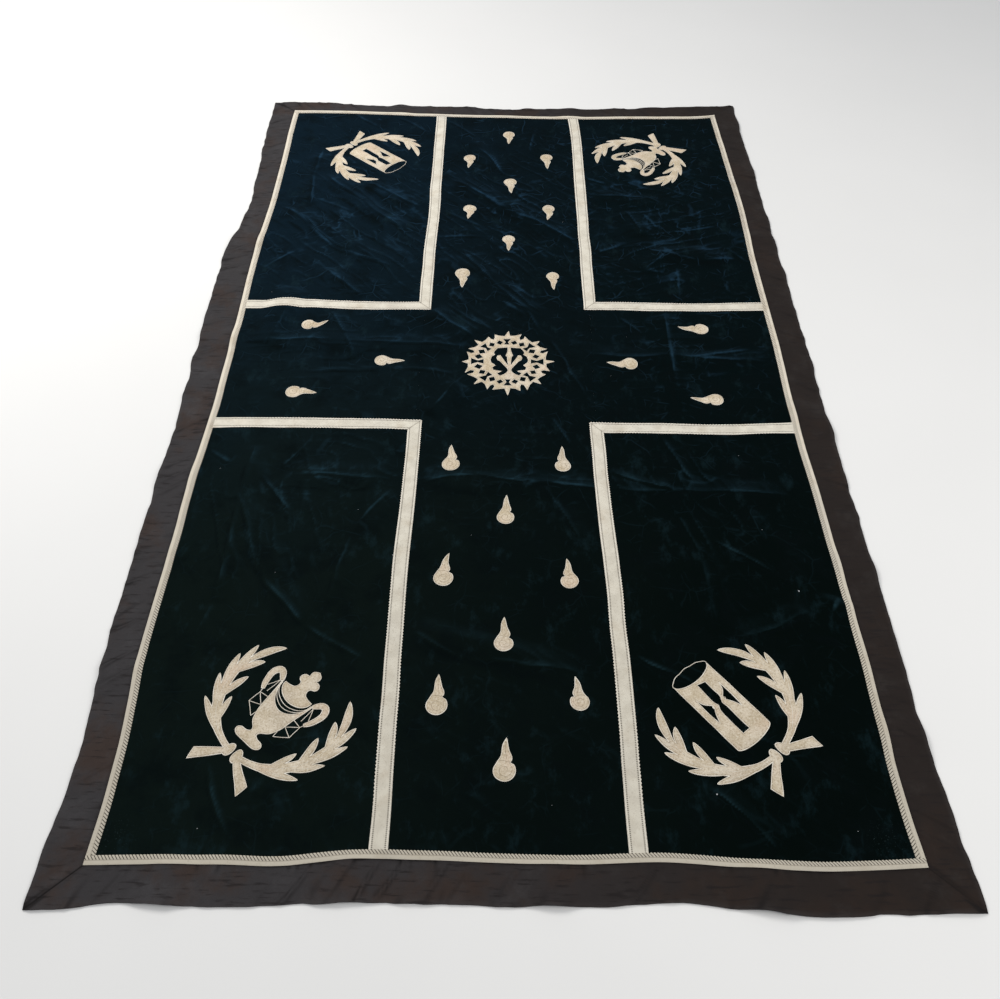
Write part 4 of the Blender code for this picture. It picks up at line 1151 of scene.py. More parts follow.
def near_knot(along, out, hand):
    """Point from its distance along the wreath's circle and outwards from it."""
    degrees = math.degrees((along + KNOT_APART) / WREATH_RADIUS)
    return on_circle(degrees, WREATH_RADIUS + out, hand)


def leaf_rib(row, hand):
    """Midrib of a leaf, bent once between its root and its tip."""
    root, bend, tip = [np.array(on_circle(row[k], row[k + 3] * MM, hand)) for k in range(3)]
    count = round(np.linalg.norm(tip - root) / OUTLINE_STEP)
    parts = np.linspace(0, 1, count + 1)
    line = [root * (1 - t) ** 2 + bend * 2 * t * (1 - t) + tip * t**2 for t in parts]
    return [tuple(p) for p in line], parts


def leaf_outline(row, hand):
    line, parts = leaf_rib(row, hand)
    half = row[6] * MM
    belly = 0.5
    halves = [
        half * (LEAF_ROOT_SHARE + (1 - LEAF_ROOT_SHARE) * math.sin(math.pi / 2 * t / belly))
        if t < belly
        else half * math.cos(math.pi / 2 * (t - belly) / (1 - belly)) ** 0.75
        for t in parts
    ]
    return strip_outline(line[:-1], halves[:-1])[: len(line) - 1] + [line[-1]] + strip_outline(
        line[:-1], halves[:-1]
    )[len(line) - 1 :]


def stem_outline(hand):
    line = bent_line([(*on_circle(a, r * MM, hand), h * MM) for a, r, h in STEM])
    return strip_outline([p[:2] for p in line], [p[2] for p in line])


def ribbon_outline(turn, hand):
    """End of the ribbon, widening to its slanted end."""
    angle = math.radians(turn)
    along = np.array([-hand * math.sin(angle), -math.cos(angle)])
    across = np.array([hand * math.cos(angle), -math.sin(angle)])
    root = np.array(near_knot(0.0, 0.0, hand)) + along * RIBBON_HALF_ROOT
    end = root + along * RIBBON_LENGTH
    corners = [
        root + across * RIBBON_HALF_ROOT,
        end + across * RIBBON_HALF_END + along * RIBBON_SLANT,
        end - across * RIBBON_HALF_END - along * RIBBON_SLANT / 2,
        root - across * RIBBON_HALF_ROOT,
    ]
    return straight_loop([tuple(corner) for corner in corners])


def branch_loops(ribbon_turn, hand):
    knot = bent_loop([near_knot(along * MM, out * MM, hand) for along, out in KNOT_OUTLINE])
    leaves = [leaf_outline(row, hand) for row in LEAVES]
    return [knot, ribbon_outline(ribbon_turn, hand), stem_outline(hand)] + leaves


def branch_stitches(hand):
    lines = []
    for row in LEAVES:
        line, parts = leaf_rib(row, hand)
        lines.append([p for p, t in zip(line, parts) if 0.2 < t < 0.93])
    lines.append(bent_line([on_circle(a, r * MM, hand) for a, r, _ in STEM]))
    return lines


def hourglass_loops():
    """Hourglass: a scooped top, a rounded foot, a slot and two side cuts."""
    half = HOURGLASS_HALF
    top = []
    bottom = []
    for step in range(33):
        angle = math.pi * step / 32
        top.append((-half * math.cos(angle), HOURGLASS_RIM - HOURGLASS_RIM_DEPTH * math.sin(angle)))
        bottom.append((half * math.cos(angle), HOURGLASS_FOOT - HOURGLASS_FOOT_BULGE * math.sin(angle)))
    outline = top + straight_line([top[-1], bottom[0]])[1:-1] + bottom
    outline += straight_line([bottom[-1], top[0]])[1:-1]
    right = in_metres(HOURGLASS_SLOT_RIGHT)
    left = in_metres(HOURGLASS_SLOT_LEFT)
    slot = bent_line(right)[:-1] + straight_line([right[-1], left[0]])[:-1]
    slot += bent_line(left)[:-1] + straight_line([left[-1], right[0]])[:-1]
    holes = [slot]
    for hand in (1, -1):
        upper, lower, outer = [
            [(hand * x, y) for x, y in in_metres(rows)]
            for rows in (HOURGLASS_CUT_UPPER, HOURGLASS_CUT_LOWER, HOURGLASS_CUT_OUTER)
        ]
        cut = bent_line(upper)[:-1] + straight_line([upper[-1], lower[0]])[:-1]
        holes.append(cut + bent_line(lower)[:-1] + bent_line(outer)[:-1])
    return [outline], holes


def rim_cord():
    """Far half of the hourglass's rim, in thin cord beyond its scooped top."""
    line = []
    for step in range(37):
        angle = math.pi * step / 36
        wave = 1 + 0.05 * math.sin(9 * angle)
        x = (HOURGLASS_HALF + 1 * MM) * math.cos(angle)
        line.append((x, HOURGLASS_RIM + HOURGLASS_RIM_DEPTH * wave * math.sin(angle)))
    return line


def urn_loops():
    """Foot, neck and flared body with a scooped top between its two shoulders."""
    foot = in_metres([(half, up) for up, half in URN_FOOT])
    side = in_metres([(half, up) for up, half in URN_BODY_SIDE])
    right = bent_line([(0.0, foot[0][1])] + foot + side)[1:]
    scoop = []
    for step in range(1, 32):
        angle = math.pi * step / 32
        x = (URN_SHOULDER_HALF - 3 * MM) * math.cos(angle)
        scoop.append((x, URN_SHOULDER_HIGH - URN_SCOOP_DEPTH * math.sin(angle)))
    left = [(-x, y) for x, y in right[::-1]]
    return [right + scoop + left]


def lid_loops():
    """Bell-shaped lid with a round bottom, a lobed knob and a small ring on top."""
    bottom = []
    for step in range(25):
        angle = math.pi * step / 24
        y = LID_SHOULDER - (LID_SHOULDER - LID_BOTTOM) * math.sin(angle)
        bottom.append((-LID_HALF * math.cos(angle), y))
    right = bent_line(in_metres([(half, up) for up, half in LID_SIDE]) + [(0.0, LID_TOP)])
    left = [(-x, y) for x, y in right[-2::-1]]
    return [bottom + right + left]


def handle_loops(hand):
    line = bent_line([(hand * x, y, half) for x, y, half in in_metres(HANDLE)])
    return [strip_outline([p[:2] for p in line], [p[2] for p in line])]


def crown_point(degrees, radius):
    angle = math.radians(degrees)
    return radius * math.cos(angle), radius * math.sin(angle)


def crown_outside(rng):
    """Outer edge: in turn one long thorn, and a pair that leans over the crossing of the strands."""
    points = []
    for unit in range(CROWN_UNITS):
        middle = 90 + unit * 360 / CROWN_UNITS
        for degrees, past, tip in CROWN_UNIT:
            sway = CROWN_TIP_SWAY if tip else 0.0
            uneven = CROWN_TIP_UNEVEN if tip else CROWN_EDGE_UNEVEN
            degrees += rng.uniform(-sway, sway)
            past += rng.uniform(-uneven, uneven)
            points.append(crown_point(middle + degrees, CROWN_RADIUS_OUT + past * MM))
    return straight_loop(points)


def crown_inside(hand):
    """Half of the inner opening, with its thorns and one side of the nails."""
    rows = in_metres(CROWN_INSIDE + SLANTING_NAIL + MIDDLE_NAIL)
    return straight_loop([(hand * x + CROWN_INSIDE_RIGHT, y) for x, y in rows])


def turned(points, x, y, degrees):
    """Outline turned and moved to its place."""
    cos = math.cos(math.radians(degrees))
    sin = math.sin(math.radians(degrees))
    return [(x + a * cos - b * sin, y + a * sin + b * cos) for a, b in points]


def crown_hole(rows, degrees, rng):
    """One hole, a little uneven in its size and place, and longer at the crown's two sides."""
    size = rng.uniform(0.92, 1.08)
    out = rng.uniform(-1.2, 1.2) * MM
    x, y = crown_point(degrees + rng.uniform(-0.7, 0.7), CROWN_MIDDLE_RADIUS + out)
    longer = 1 + CROWN_SIDE_LONGER * abs(math.cos(math.radians(degrees)))
    shape = [(size * longer * a, size * b) for a, b in in_metres(rows)]
    return straight_loop(turned(shape, x, y, degrees))


def crown_loops():
    rng = np.random.default_rng(3)
    holes = [crown_inside(1), crown_inside(-1)]
    for unit in range(CROWN_UNITS):
        middle = 90 + unit * 360 / CROWN_UNITS
        holes.append(crown_hole(CROWN_OPENING, middle, rng))
        for apart in (-CROWN_GAP_APART, CROWN_GAP_APART):
            holes.append(crown_hole(CROWN_GAP, middle + apart, rng))
    return [crown_outside(rng)], holes


# Cut pieces as meshes.


def inside_loop(points, loop):
    """Whether each point is inside a closed line, by counting crossings."""
    x = points[:, 0][:, None]
    y = points[:, 1][:, None]
    start = np.array(loop)
    end = np.roll(start, -1, axis=0)
    spans = (start[:, 1] > y) != (end[:, 1] > y)
    rise = np.where(end[:, 1] == start[:, 1], 1e-12, end[:, 1] - start[:, 1])
    crossing = (end[:, 0] - start[:, 0]) * (y - start[:, 1]) / rise + start[:, 0]
    return (spans & (x < crossing)).sum(axis=1) % 2 == 1


def inside_shape(points, loops, holes):
    kept = np.zeros(len(points), bool)
    for loop in loops:
        kept |= inside_loop(points, loop)
    for hole in holes:
        kept &= ~inside_loop(points, hole)
    return kept


def distance_to(points, starts, ends):
    """Distance from each point to the nearest of some straight sides."""
    best = np.full(len(points), 1e9)
    for start, end in zip(starts, ends):
        side = end - start
        part = np.clip((points - start) @ side / max(side @ side, 1e-15), 0, 1)
        gap = points - start - part[:, None] * side
        best = np.minimum(best, np.hypot(gap[:, 0], gap[:, 1]))
    return best


def boundary_loops(triangles):
    """Closed rows of point numbers round the kept triangles, each with the cloth on its left."""
    used = set()
    for a, b, c in triangles:
        used.update([(a, b), (b, c), (c, a)])
    following = {}
    for a, b in used:
        if (b, a) not in used:
            following.setdefault(a, []).append(b)
    loops = []
    while following:
        start = min(following)
        loop = [start]
        place = following[start].pop()
        while place != start:
            loop.append(place)
            place = following[place].pop()
        following = {key: row for key, row in following.items() if row}
        loops.append(loop)
    return loops


def flat_shape(loops, holes=()):
    """Flat triangles that fill the joined outlines and leave the holes open."""
    lines = list(loops) + list(holes)
    points = [point for line in lines for point in line]
    edges = []
    first = 0
    for line in lines:
        count = len(line)
        edges += [(first + n, first + (n + 1) % count) for n in range(count)]
        first += count
    starts = np.array([points[a] for a, _ in edges])
    ends = np.array([points[b] for _, b in edges])
    low = np.min(points, axis=0)
    high = np.max(points, axis=0)
    rows = np.arange(low[1], high[1], OUTLINE_STEP * 0.87)
    grid = []
    for number, y in enumerate(rows):
        shift = OUTLINE_STEP / 2 * (number % 2)
        grid += [(x, y) for x in np.arange(low[0] + shift, high[0], OUTLINE_STEP)]
    grid = np.array(grid)
    grid = grid[inside_shape(grid, loops, holes)]
    grid = grid[distance_to(grid, starts, ends) > OUTLINE_STEP * 0.5]
    everything = [Vector(p) for p in points] + [Vector(p) for p in grid]
    made = delaunay_2d_cdt(everything, edges, [], 0, 1e-6, False)
    places = np.array([tuple(v) for v in made[0]])
    triangles = np.array([face for face in made[2] if len(face) == 3])
    middles = places[triangles].mean(axis=1)
    triangles = triangles[inside_shape(middles, loops, holes)]
    a, b, c = [places[triangles[:, k]] for k in range(3)]
    area = 0.5 * ((b - a)[:, 0] * (c - a)[:, 1] - (b - a)[:, 1] * (c - a)[:, 0])
    triangles = np.where((area < 0)[:, None], triangles[:, ::-1], triangles)[np.abs(area) > 1e-10]
    kept, numbers = np.unique(triangles, return_inverse=True)
    triangles = numbers.reshape(triangles.shape)
    places = places[kept]
    rims = boundary_loops(triangles.tolist())
    rim_starts = np.array([places[p] for rim in rims for p in rim])
    rim_ends = np.array([places[p] for rim in rims for p in rim[1:] + rim[:1]])
    return {
        "places": places,
        "triangles": triangles,
        "rims": rims,
        "inward": distance_to(places, rim_starts, rim_ends),
        "area": float(np.abs(area).sum()),
    }


def cut_rise(inward):
    """Height of the cut cloth's face above its underside, from the distance to its edge."""
    edge = 0.75 + 0.25 * np.clip(inward / (2 * MM), 0, 1)
    puffed = np.clip(inward / (9 * MM), 0, 1)
    return CUT_CLOTH_THICK * edge + PUFF * puffed * (2 - puffed)


def least_box(places):
    """Sides of the smallest rectangle, out of several turns, that the flat piece is cut from."""
    best = None
    for degrees in range(0, 90, 3):
        cos = math.cos(math.radians(degrees))
        sin = math.sin(math.radians(degrees))
        along = places @ np.array([cos, sin])
        across = places @ np.array([-sin, cos])
        sides = (float(np.ptp(across)), float(np.ptp(along)))
        if best is None or sides[0] * sides[1] < best[0] * best[1]:
            best = sides
    return best


def place_flat(places, x, y, degrees):
    """World places, plan places and height of the velvet for a piece's flat points."""
    moved = np.array(turned(places, x, y, degrees))
    uneven = 0.9 * MM * soft_noise(moved[:, 0], moved[:, 1], 0.035, 0.035, 8)
    uneven_y = 0.9 * MM * soft_noise(moved[:, 0], moved[:, 1], 0.035, 0.035, 9)
    real_x = moved[:, 0] + uneven
    real_y = moved[:, 1] + uneven_y
    plan_x, plan_y = planned(real_x, real_y)
    return real_x, real_y, velvet_top(plan_x, plan_y) + SEWN_GAP


def make_cut_piece(name, node, shape, place, material, cords, cord_radius=CORD_RADIUS):
    """Closed piece of cut cloth, and the line of the cord round it."""
    real_x, real_y, low = place_flat(shape["places"], *place)
    crumpled = 0.22 * MM * soft_noise(real_x, real_y, 0.010, 0.010, 10)
    high = low + cut_rise(shape["inward"]) + crumpled
    count = len(low)
    points = np.concatenate([np.stack([real_x, real_y, high], 1), np.stack([real_x, real_y, low], 1)])
    faces = shape["triangles"].tolist() + (shape["triangles"][:, ::-1] + count).tolist()
    for rim in shape["rims"]:
        for a, b in zip(rim, rim[1:] + rim[:1]):
            faces.append([a + count, b + count, b, a])
        line = np.stack([real_x[rim], real_y[rim], low[rim] + 0.75 * MM], axis=1)
        cords.append((line, True, cord_radius))
    piece = add_piece(name, points.tolist(), faces, material)
    add_numbers(piece, "inward", np.concatenate([shape["inward"], shape["inward"]]) / MM)
    flat = least_box(shape["places"])
    declare(piece, [node], flat, shape["area"])
    return np.stack([real_x, real_y, high], axis=1)


def add_stitches(lines, shape, place, face_points, cords):
    """Thin sewn lines that follow a cut piece's face."""
    for line in lines:
        rows = np.array(line)
        real_x, real_y, _ = place_flat(rows, *place)
        nearest = [np.argmin(((shape["places"] - row) ** 2).sum(axis=1)) for row in rows]
        height = face_points[nearest, 2] + 0.05 * MM
        cords.append((np.stack([real_x, real_y, height], axis=1), False, STITCH_RADIUS))


def add_laid_cord(line, place, cords, radius=THIN_CORD_RADIUS):
    """Thin cord laid straight on the velvet."""
    real_x, real_y, low = place_flat(np.array(line), *place)
    cords.append((np.stack([real_x, real_y, low + 0.5 * MM], axis=1), False, radius))


def tube(line, closed, radius, sides):
    """Points and faces of a round tube along a line."""
    if closed:
        along = np.roll(line, -1, axis=0) - np.roll(line, 1, axis=0)
    else:
        along = np.gradient(line, axis=0)
    along /= np.maximum(np.linalg.norm(along, axis=1), 1e-9)[:, None]
    side = np.cross(np.array([0.0, 0.0, 1.0]), along)
    side /= np.maximum(np.linalg.norm(side, axis=1), 1e-9)[:, None]
    up = np.cross(along, side)
    angles = 2 * math.pi * np.arange(sides) / sides
    rings = [line + radius * (side * math.cos(a) + up * math.sin(a)) for a in angles]
    points = np.stack(rings, axis=1).reshape(-1, 3)
    count = len(line)
    faces = []
    for n in range(count if closed else count - 1):
        m = (n + 1) % count
        for k in range(sides):
            j = (k + 1) % sides
            faces.append([n * sides + k, m * sides + k, m * sides + j, n * sides + j])
    if not closed:
        faces.append([k for k in range(sides)])
        faces.append([(count - 1) * sides + k for k in range(sides - 1, -1, -1)])
    return points, faces


def make_cords(name, cords, material):
    """All the cords of one emblem or group, as one piece."""
    all_points = []
    all_faces = []
    first = 0
    for line, closed, radius in cords:
        points, faces = tube(line, closed, radius, 4 if radius == STITCH_RADIUS else 6)
        all_points.append(points)
        all_faces += [[first + v for v in face] for face in faces]
        first += len(points)
    piece = add_piece(name, np.concatenate(all_points).tolist(), all_faces, material)
    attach(piece, "root")
    return piece


def make_tears(materials):
    cords = []
    stitches = []
    for number, (x, y, way, hand, lean, length, width) in enumerate(TEARS, start=1):
        node = "tear_%02d" % number
        place = (x, y, way)
        sizes = (hand, lean, length * MM, width * MM)
        shape = flat_shape(tear_loops(*sizes))
        face = make_cut_piece(node + "_cut", node, shape, place, materials["cut"], cords)
        add_stitches(tear_stitches(*sizes), shape, place, face, stitches)
    make_cords("tear_cords", cords, materials["cord"])
    make_cords("tear_stitches", stitches, materials["thread"])


def add_drapery(place, cords):
    """Thin cords beside the urn and across its body."""
    for hand in (-1, 1):
        for rows in URN_DRAPERY:
            line = straight_line([(hand * a, b) for a, b in in_metres(rows)])
            add_laid_cord(line, place, cords)
    for depth in URN_CONTOURS:
        line = []
        for step in range(33):
            angle = math.pi * step / 32
            line.append((0.048 * math.cos(angle), URN_SHOULDER_HIGH - depth * math.sin(angle)))
        add_laid_cord(line, place, cords)


def make_emblems(materials):
    hourglass = flat_shape(*hourglass_loops())
    urn = flat_shape(urn_loops())
    lid = flat_shape(lid_loops())
    handles = {hand: flat_shape(handle_loops(hand)) for hand in (1, -1)}
    for place_name, x, y, open_way, past, motif_turn, turn_a, turn_b in EMBLEMS:
        cords = []
        place = (x, y, open_way - 90)
        way = math.radians(open_way)
        motif_x = x + past * MM * math.cos(way)
        motif_y = y + past * MM * math.sin(way)
        motif = (motif_x, motif_y, open_way - 90 + motif_turn)

        def cut(node, shape, where):
            return make_cut_piece(node + "_cut", node, shape, where, materials["cut"], cords)

        for letter, hand, turn in (("a", 1, turn_a), ("b", -1, turn_b)):
            branch = flat_shape(branch_loops(turn, hand))
            face = cut("branch_" + place_name + "_" + letter, branch, place)
            add_stitches(branch_stitches(hand), branch, place, face, cords)
        if place_name in ("far_right", "near_left"):
            cut("urn_" + place_name, urn, motif)
            cut("lid_" + place_name, lid, motif)
            for letter, hand in (("a", -1), ("b", 1)):
                cut("handle_" + place_name + "_" + letter, handles[hand], motif)
            add_drapery(motif, cords)
        else:
            cut("hourglass_" + place_name, hourglass, motif)
            add_laid_cord(rim_cord(), motif, cords)
            for a, b, radius in in_metres(WAIST_BALLS):
                add_laid_cord(arc((a, b), radius, 0, 360), motif, cords)
        make_cords("cords_" + place_name, cords, materials["cord"])


def make_crown(materials):
    shape = flat_shape(*crown_loops())
    cords = []
    place = (CROWN_X, CROWN_Y, 0)
    make_cut_piece("crown_cut", "crown", shape, place, materials["cut"], cords, CROWN_CORD_RADIUS)
    make_cords("crown_cords", cords, materials["cord"])


def make_specks(material):
    """Bits of lint, each a small low flake."""
    rng = np.random.default_rng(21)
    points = []
    faces = []
    for x, y, size in SPECKS:
        count = 7
        first = len(points)
        angles = np.sort(rng.uniform(0, 2 * math.pi, count))
        reach = rng.uniform(0.25, 0.6, count) * size * MM
        xs = np.append(x + reach * np.cos(angles), x)
        ys = np.append(y + reach * np.sin(angles), y)
        plan_x, plan_y = planned(xs, ys)
        zs = velvet_top(plan_x, plan_y) + 0.3 * MM
        zs[-1] += 0.5 * MM
        points += np.stack([xs, ys, zs], axis=1).tolist()
        faces += [[first + n, first + (n + 1) % count, first + count] for n in range(count)]
        faces.append([first + n for n in range(count - 1, -1, -1)])
    piece = add_piece("lint", points, faces, material)
    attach(piece, "root")
    return piece


# Attaching the pieces and hiding the model's parts that they stand for.


def declare(piece, nodes, flat, area=None):
    """Attach a sheet to the model's root body and hide the nodes that it stands for; its flat size and area only lead
    to a print of a small share.
    """
    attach(piece, "root")
    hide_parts(*nodes)
    if area is not None:
        area = min(area, flat[0] * flat[1])
        if area < 0.3 * flat[0] * flat[1]:
            print("small share", piece.name, area / flat[0] / flat[1])
            area = 0.3 * flat[0] * flat[1]
    return piece


# Materials.


class Shade:
    """A material's nodes, with short calls for the ones used here."""

    def __init__(self, name, roughness):
        self.material = bpy.data.materials.new(name)
        self.material.use_nodes = True
        self.tree = self.material.node_tree
        self.shader = self.tree.nodes["Principled BSDF"]
        self.shader.inputs["Roughness"].default_value = roughness
        self.places = self.node("ShaderNodeTexCoord").outputs["Object"]

    def node(self, kind, **settings):
        made = self.tree.nodes.new(kind)
        for key, value in settings.items():
            setattr(made, key, value)
        return made

    def link(self, source, target):
        if isinstance(source, (int, float)):
            target.default_value = source
        elif isinstance(source, tuple):
            target.default_value = (*source, 1.0) if len(source) == 3 and target.type == "RGBA" else source
        else:
            self.tree.links.new(source, target)

    def number(self, name):
        """A number stored at the mesh's points."""
        return self.node("ShaderNodeAttribute", attribute_name=name).outputs["Fac"]

    def lay(self):
        """Distances across and along a strip, and its shade, stored at the mesh's points."""
        stored = self.node("ShaderNodeAttribute", attribute_name="lay").outputs["Vector"]
        split = self.node("ShaderNodeSeparateXYZ")
        self.link(stored, split.inputs[0])
        return split.outputs[0], split.outputs[1], split.outputs[2]

    def maths(self, operation, first, second=0.0, third=0.0):
        made = self.node("ShaderNodeMath", operation=operation)
        for value, socket in zip((first, second, third), made.inputs):
            self.link(value, socket)
        return made.outputs[0]

    def noise(self, scale, detail=3.0, stretch=(1.0, 1.0, 1.0), rough=0.5):
        mapping = self.node("ShaderNodeMapping")
        self.link(self.places, mapping.inputs["Vector"])
        mapping.inputs["Scale"].default_value = stretch
        made = self.node("ShaderNodeTexNoise")
        self.link(mapping.outputs[0], made.inputs["Vector"])
        made.inputs["Scale"].default_value = scale
        made.inputs["Detail"].default_value = detail
        made.inputs["Roughness"].default_value = rough
        return made.outputs["Fac"]

    def between(self, value, low, high):
        """Stretch the values between two limits to 0 to 1."""
        made = self.node("ShaderNodeMapRange")
        made.interpolation_type = "SMOOTHSTEP"
        self.link(value, made.inputs["Value"])
        made.inputs["From Min"].default_value = low
        made.inputs["From Max"].default_value = high
        return made.outputs["Result"]

    def mix(self, share, first, second):
        made = self.node("ShaderNodeMix", data_type="RGBA")
        self.link(share, made.inputs["Factor"])
        self.link(first, made.inputs[6])
        self.link(second, made.inputs[7])
        return made.outputs[2]

    def bump(self, height, distance, strength=1.0, below=None):
        made = self.node("ShaderNodeBump")
        made.inputs["Distance"].default_value = distance
        made.inputs["Strength"].default_value = strength
        self.link(height, made.inputs["Height"])
        if below is not None:
            self.link(below, made.inputs["Normal"])
        return made.outputs["Normal"]

    def finish(self, colour, normal):
        self.link(colour, self.shader.inputs["Base Color"])
        self.link(normal, self.shader.inputs["Normal"])
        return self.material


# Velvet colours: the bluer, lighter far left and the darker near right are painted sheen and a painted falloff of
# light, and the two sheen blues paint its sheen.
DEEP_BLACK = (0.0014, 0.0030, 0.0032)
NEAR_LEFT_BLACK = (0.0028, 0.0058, 0.0050)
NEAR_RIGHT_BLACK = (0.0008, 0.0024, 0.0020)
FAR_LEFT_BLACK = (0.0026, 0.0080, 0.0135)
FAR_RIGHT_BLACK = (0.0012, 0.0040, 0.0048)
NEAR_SHEEN_BLUE = (0.0085, 0.0230, 0.0290)
FAR_SHEEN_BLUE = (0.0110, 0.0330, 0.0600)
DUST = (0.020, 0.034, 0.036)
# Painted crease lines of sheen, with painted shade at their sides: how many lie along a metre, and their half width
# as a part of their spacing.
PAINTED_CREASE_WEBS = ((8.0, 0.018), (17.0, 0.030))
# Dusty corners of the field: x, y.
DUSTY = ((-0.775, -1.395), (0.755, -1.400))


def velvet_material(name, lightness):
    """Near-black pile with painted sheen and light: bluer and lighter to the far left, green-black and darker to the
    near right, with painted sheen lines and painted shade on its slopes.
    """
    shade = Shade(name, 1.0)
    shader = shade.shader
    shader.inputs["Specular IOR Level"].default_value = 0.02
    shader.inputs["Sheen Weight"].default_value = 0.02
    shader.inputs["Sheen Roughness"].default_value = 0.4
    shader.inputs["Sheen Tint"].default_value = (0.25, 0.55, 0.9, 1.0)
    split = shade.node("ShaderNodeSeparateXYZ")
    shade.link(shade.places, split.inputs[0])
    clouds = shade.maths("MULTIPLY_ADD", shade.noise(2.4, 4.0, rough=0.6), 1.1, -0.55)
    # Painted sheen and light: the pile is bluer and lighter to the far end and to the left, and darker to the near
    # end and to the right.
    right = shade.between(shade.maths("ADD", split.outputs[0], clouds), -0.75, 0.65)
    far = shade.between(shade.maths("ADD", split.outputs[1], clouds), -1.0, 0.95)
    near_side = shade.mix(right, NEAR_LEFT_BLACK, NEAR_RIGHT_BLACK)
    far_side = shade.mix(right, FAR_LEFT_BLACK, FAR_RIGHT_BLACK)
    colour = shade.mix(far, near_side, far_side)
    colour = shade.mix(lightness, colour, DEEP_BLACK)
    dark = shade.between(shade.noise(9.0, 5.0, rough=0.65), 0.46, 0.70)
    colour = shade.mix(shade.maths("MULTIPLY", dark, 0.65), colour, DEEP_BLACK)
    painted_sheen = shade.number("painted_sheen")
    # Painted shade on slopes that face the near end.
    painted_slope_shade = shade.maths("MULTIPLY", painted_sheen, -0.9)
    colour = shade.mix(shade.between(painted_slope_shade, 0.0, 0.4), colour, DEEP_BLACK)
    mottled = shade.between(shade.noise(16.0, 6.0, stretch=(1.0, 0.6, 1.0), rough=0.7), 0.54, 0.72)
    colour = shade.mix(shade.maths("MULTIPLY", mottled, 0.30), colour, NEAR_SHEEN_BLUE)
    streaks = shade.between(shade.noise(22.0, 5.0, rough=0.7), 0.36, 0.66)
    # Painted sheen on the crest lines and on slopes that face the far end.
    light = shade.maths("MULTIPLY", shade.between(painted_sheen, 0.02, 0.9), shade.maths("MULTIPLY_ADD", streaks, 0.55, 0.45))
    colour = shade.mix(light, colour, shade.mix(far, NEAR_SHEEN_BLUE, FAR_SHEEN_BLUE))
    # Painted crease lines: sheen along each line, shade at its sides.
    colour = painted_crease_lines(shade, colour, shade.mix(far, NEAR_SHEEN_BLUE, FAR_SHEEN_BLUE), far)
    colour = dusty(shade, colour)
    pile = shade.noise(1500.0, 2.0)
    wrinkles = shade.noise(34.0, 4.0, rough=0.6)
    normal = shade.bump(wrinkles, 0.0022, 0.8)
    normal = shade.bump(pile, 0.0004, 0.5, normal)
    return shade.finish(colour, normal)


def painted_crease_lines(shade, colour, light, far):
    """Painted creases: thin lines of painted sheen, each with painted shade on its sides, that fade in and out and
    are faint in the near half.
    """
    seen = shade.maths("MULTIPLY_ADD", far, 0.55, 0.17)
    bend = shade.node("ShaderNodeTexNoise")
    shade.link(shade.places, bend.inputs["Vector"])
    bend.inputs["Scale"].default_value = 6.0
    bend.inputs["Detail"].default_value = 3.0
    bent = shade.node("ShaderNodeVectorMath", operation="MULTIPLY_ADD")
    shade.link(bend.outputs["Color"], bent.inputs[0])
    bent.inputs[1].default_value = (0.09, 0.09, 0.0)
    shade.link(shade.places, bent.inputs[2])
    for scale, half in PAINTED_CREASE_WEBS:
        web = shade.node("ShaderNodeTexVoronoi", feature="DISTANCE_TO_EDGE")
        shade.link(bent.outputs[0], web.inputs["Vector"])
        web.inputs["Scale"].default_value = scale
        near_line = web.outputs["Distance"]
        shown = shade.maths("MULTIPLY", shade.between(shade.noise(scale * 1.3, 2.0), 0.50, 0.68), seen)
        # Painted shade on both sides of each crease line.
        sides = shade.maths("MULTIPLY", shade.between(near_line, 4.5 * half, 1.5 * half), shown)
        colour = shade.mix(shade.maths("MULTIPLY", sides, 0.6), colour, DEEP_BLACK)
        # Painted sheen along each crease line.
        line = shade.maths("MULTIPLY", shade.between(near_line, half, 0.2 * half), shown)
        colour = shade.mix(shade.maths("MULTIPLY", line, 0.6), colour, light)
    return colour


def dusty(shade, colour):
    """Pale specks of dust in the near corners."""
    grains = shade.between(shade.noise(280.0, 3.0, rough=0.7), 0.62, 0.72)
    for x, y in DUSTY:
        gap = shade.node("ShaderNodeVectorMath", operation="DISTANCE")
        flat = shade.node("ShaderNodeVectorMath", operation="MULTIPLY")
        shade.link(shade.places, flat.inputs[0])
        flat.inputs[1].default_value = (1.0, 1.0, 0.0)
        shade.link(flat.outputs[0], gap.inputs[0])
        gap.inputs[1].default_value = (x, y, 0.0)
        close = shade.between(gap.outputs["Value"], 0.060, 0.01)
        colour = shade.mix(shade.maths("MULTIPLY", close, grains), colour, DUST)
    return colour


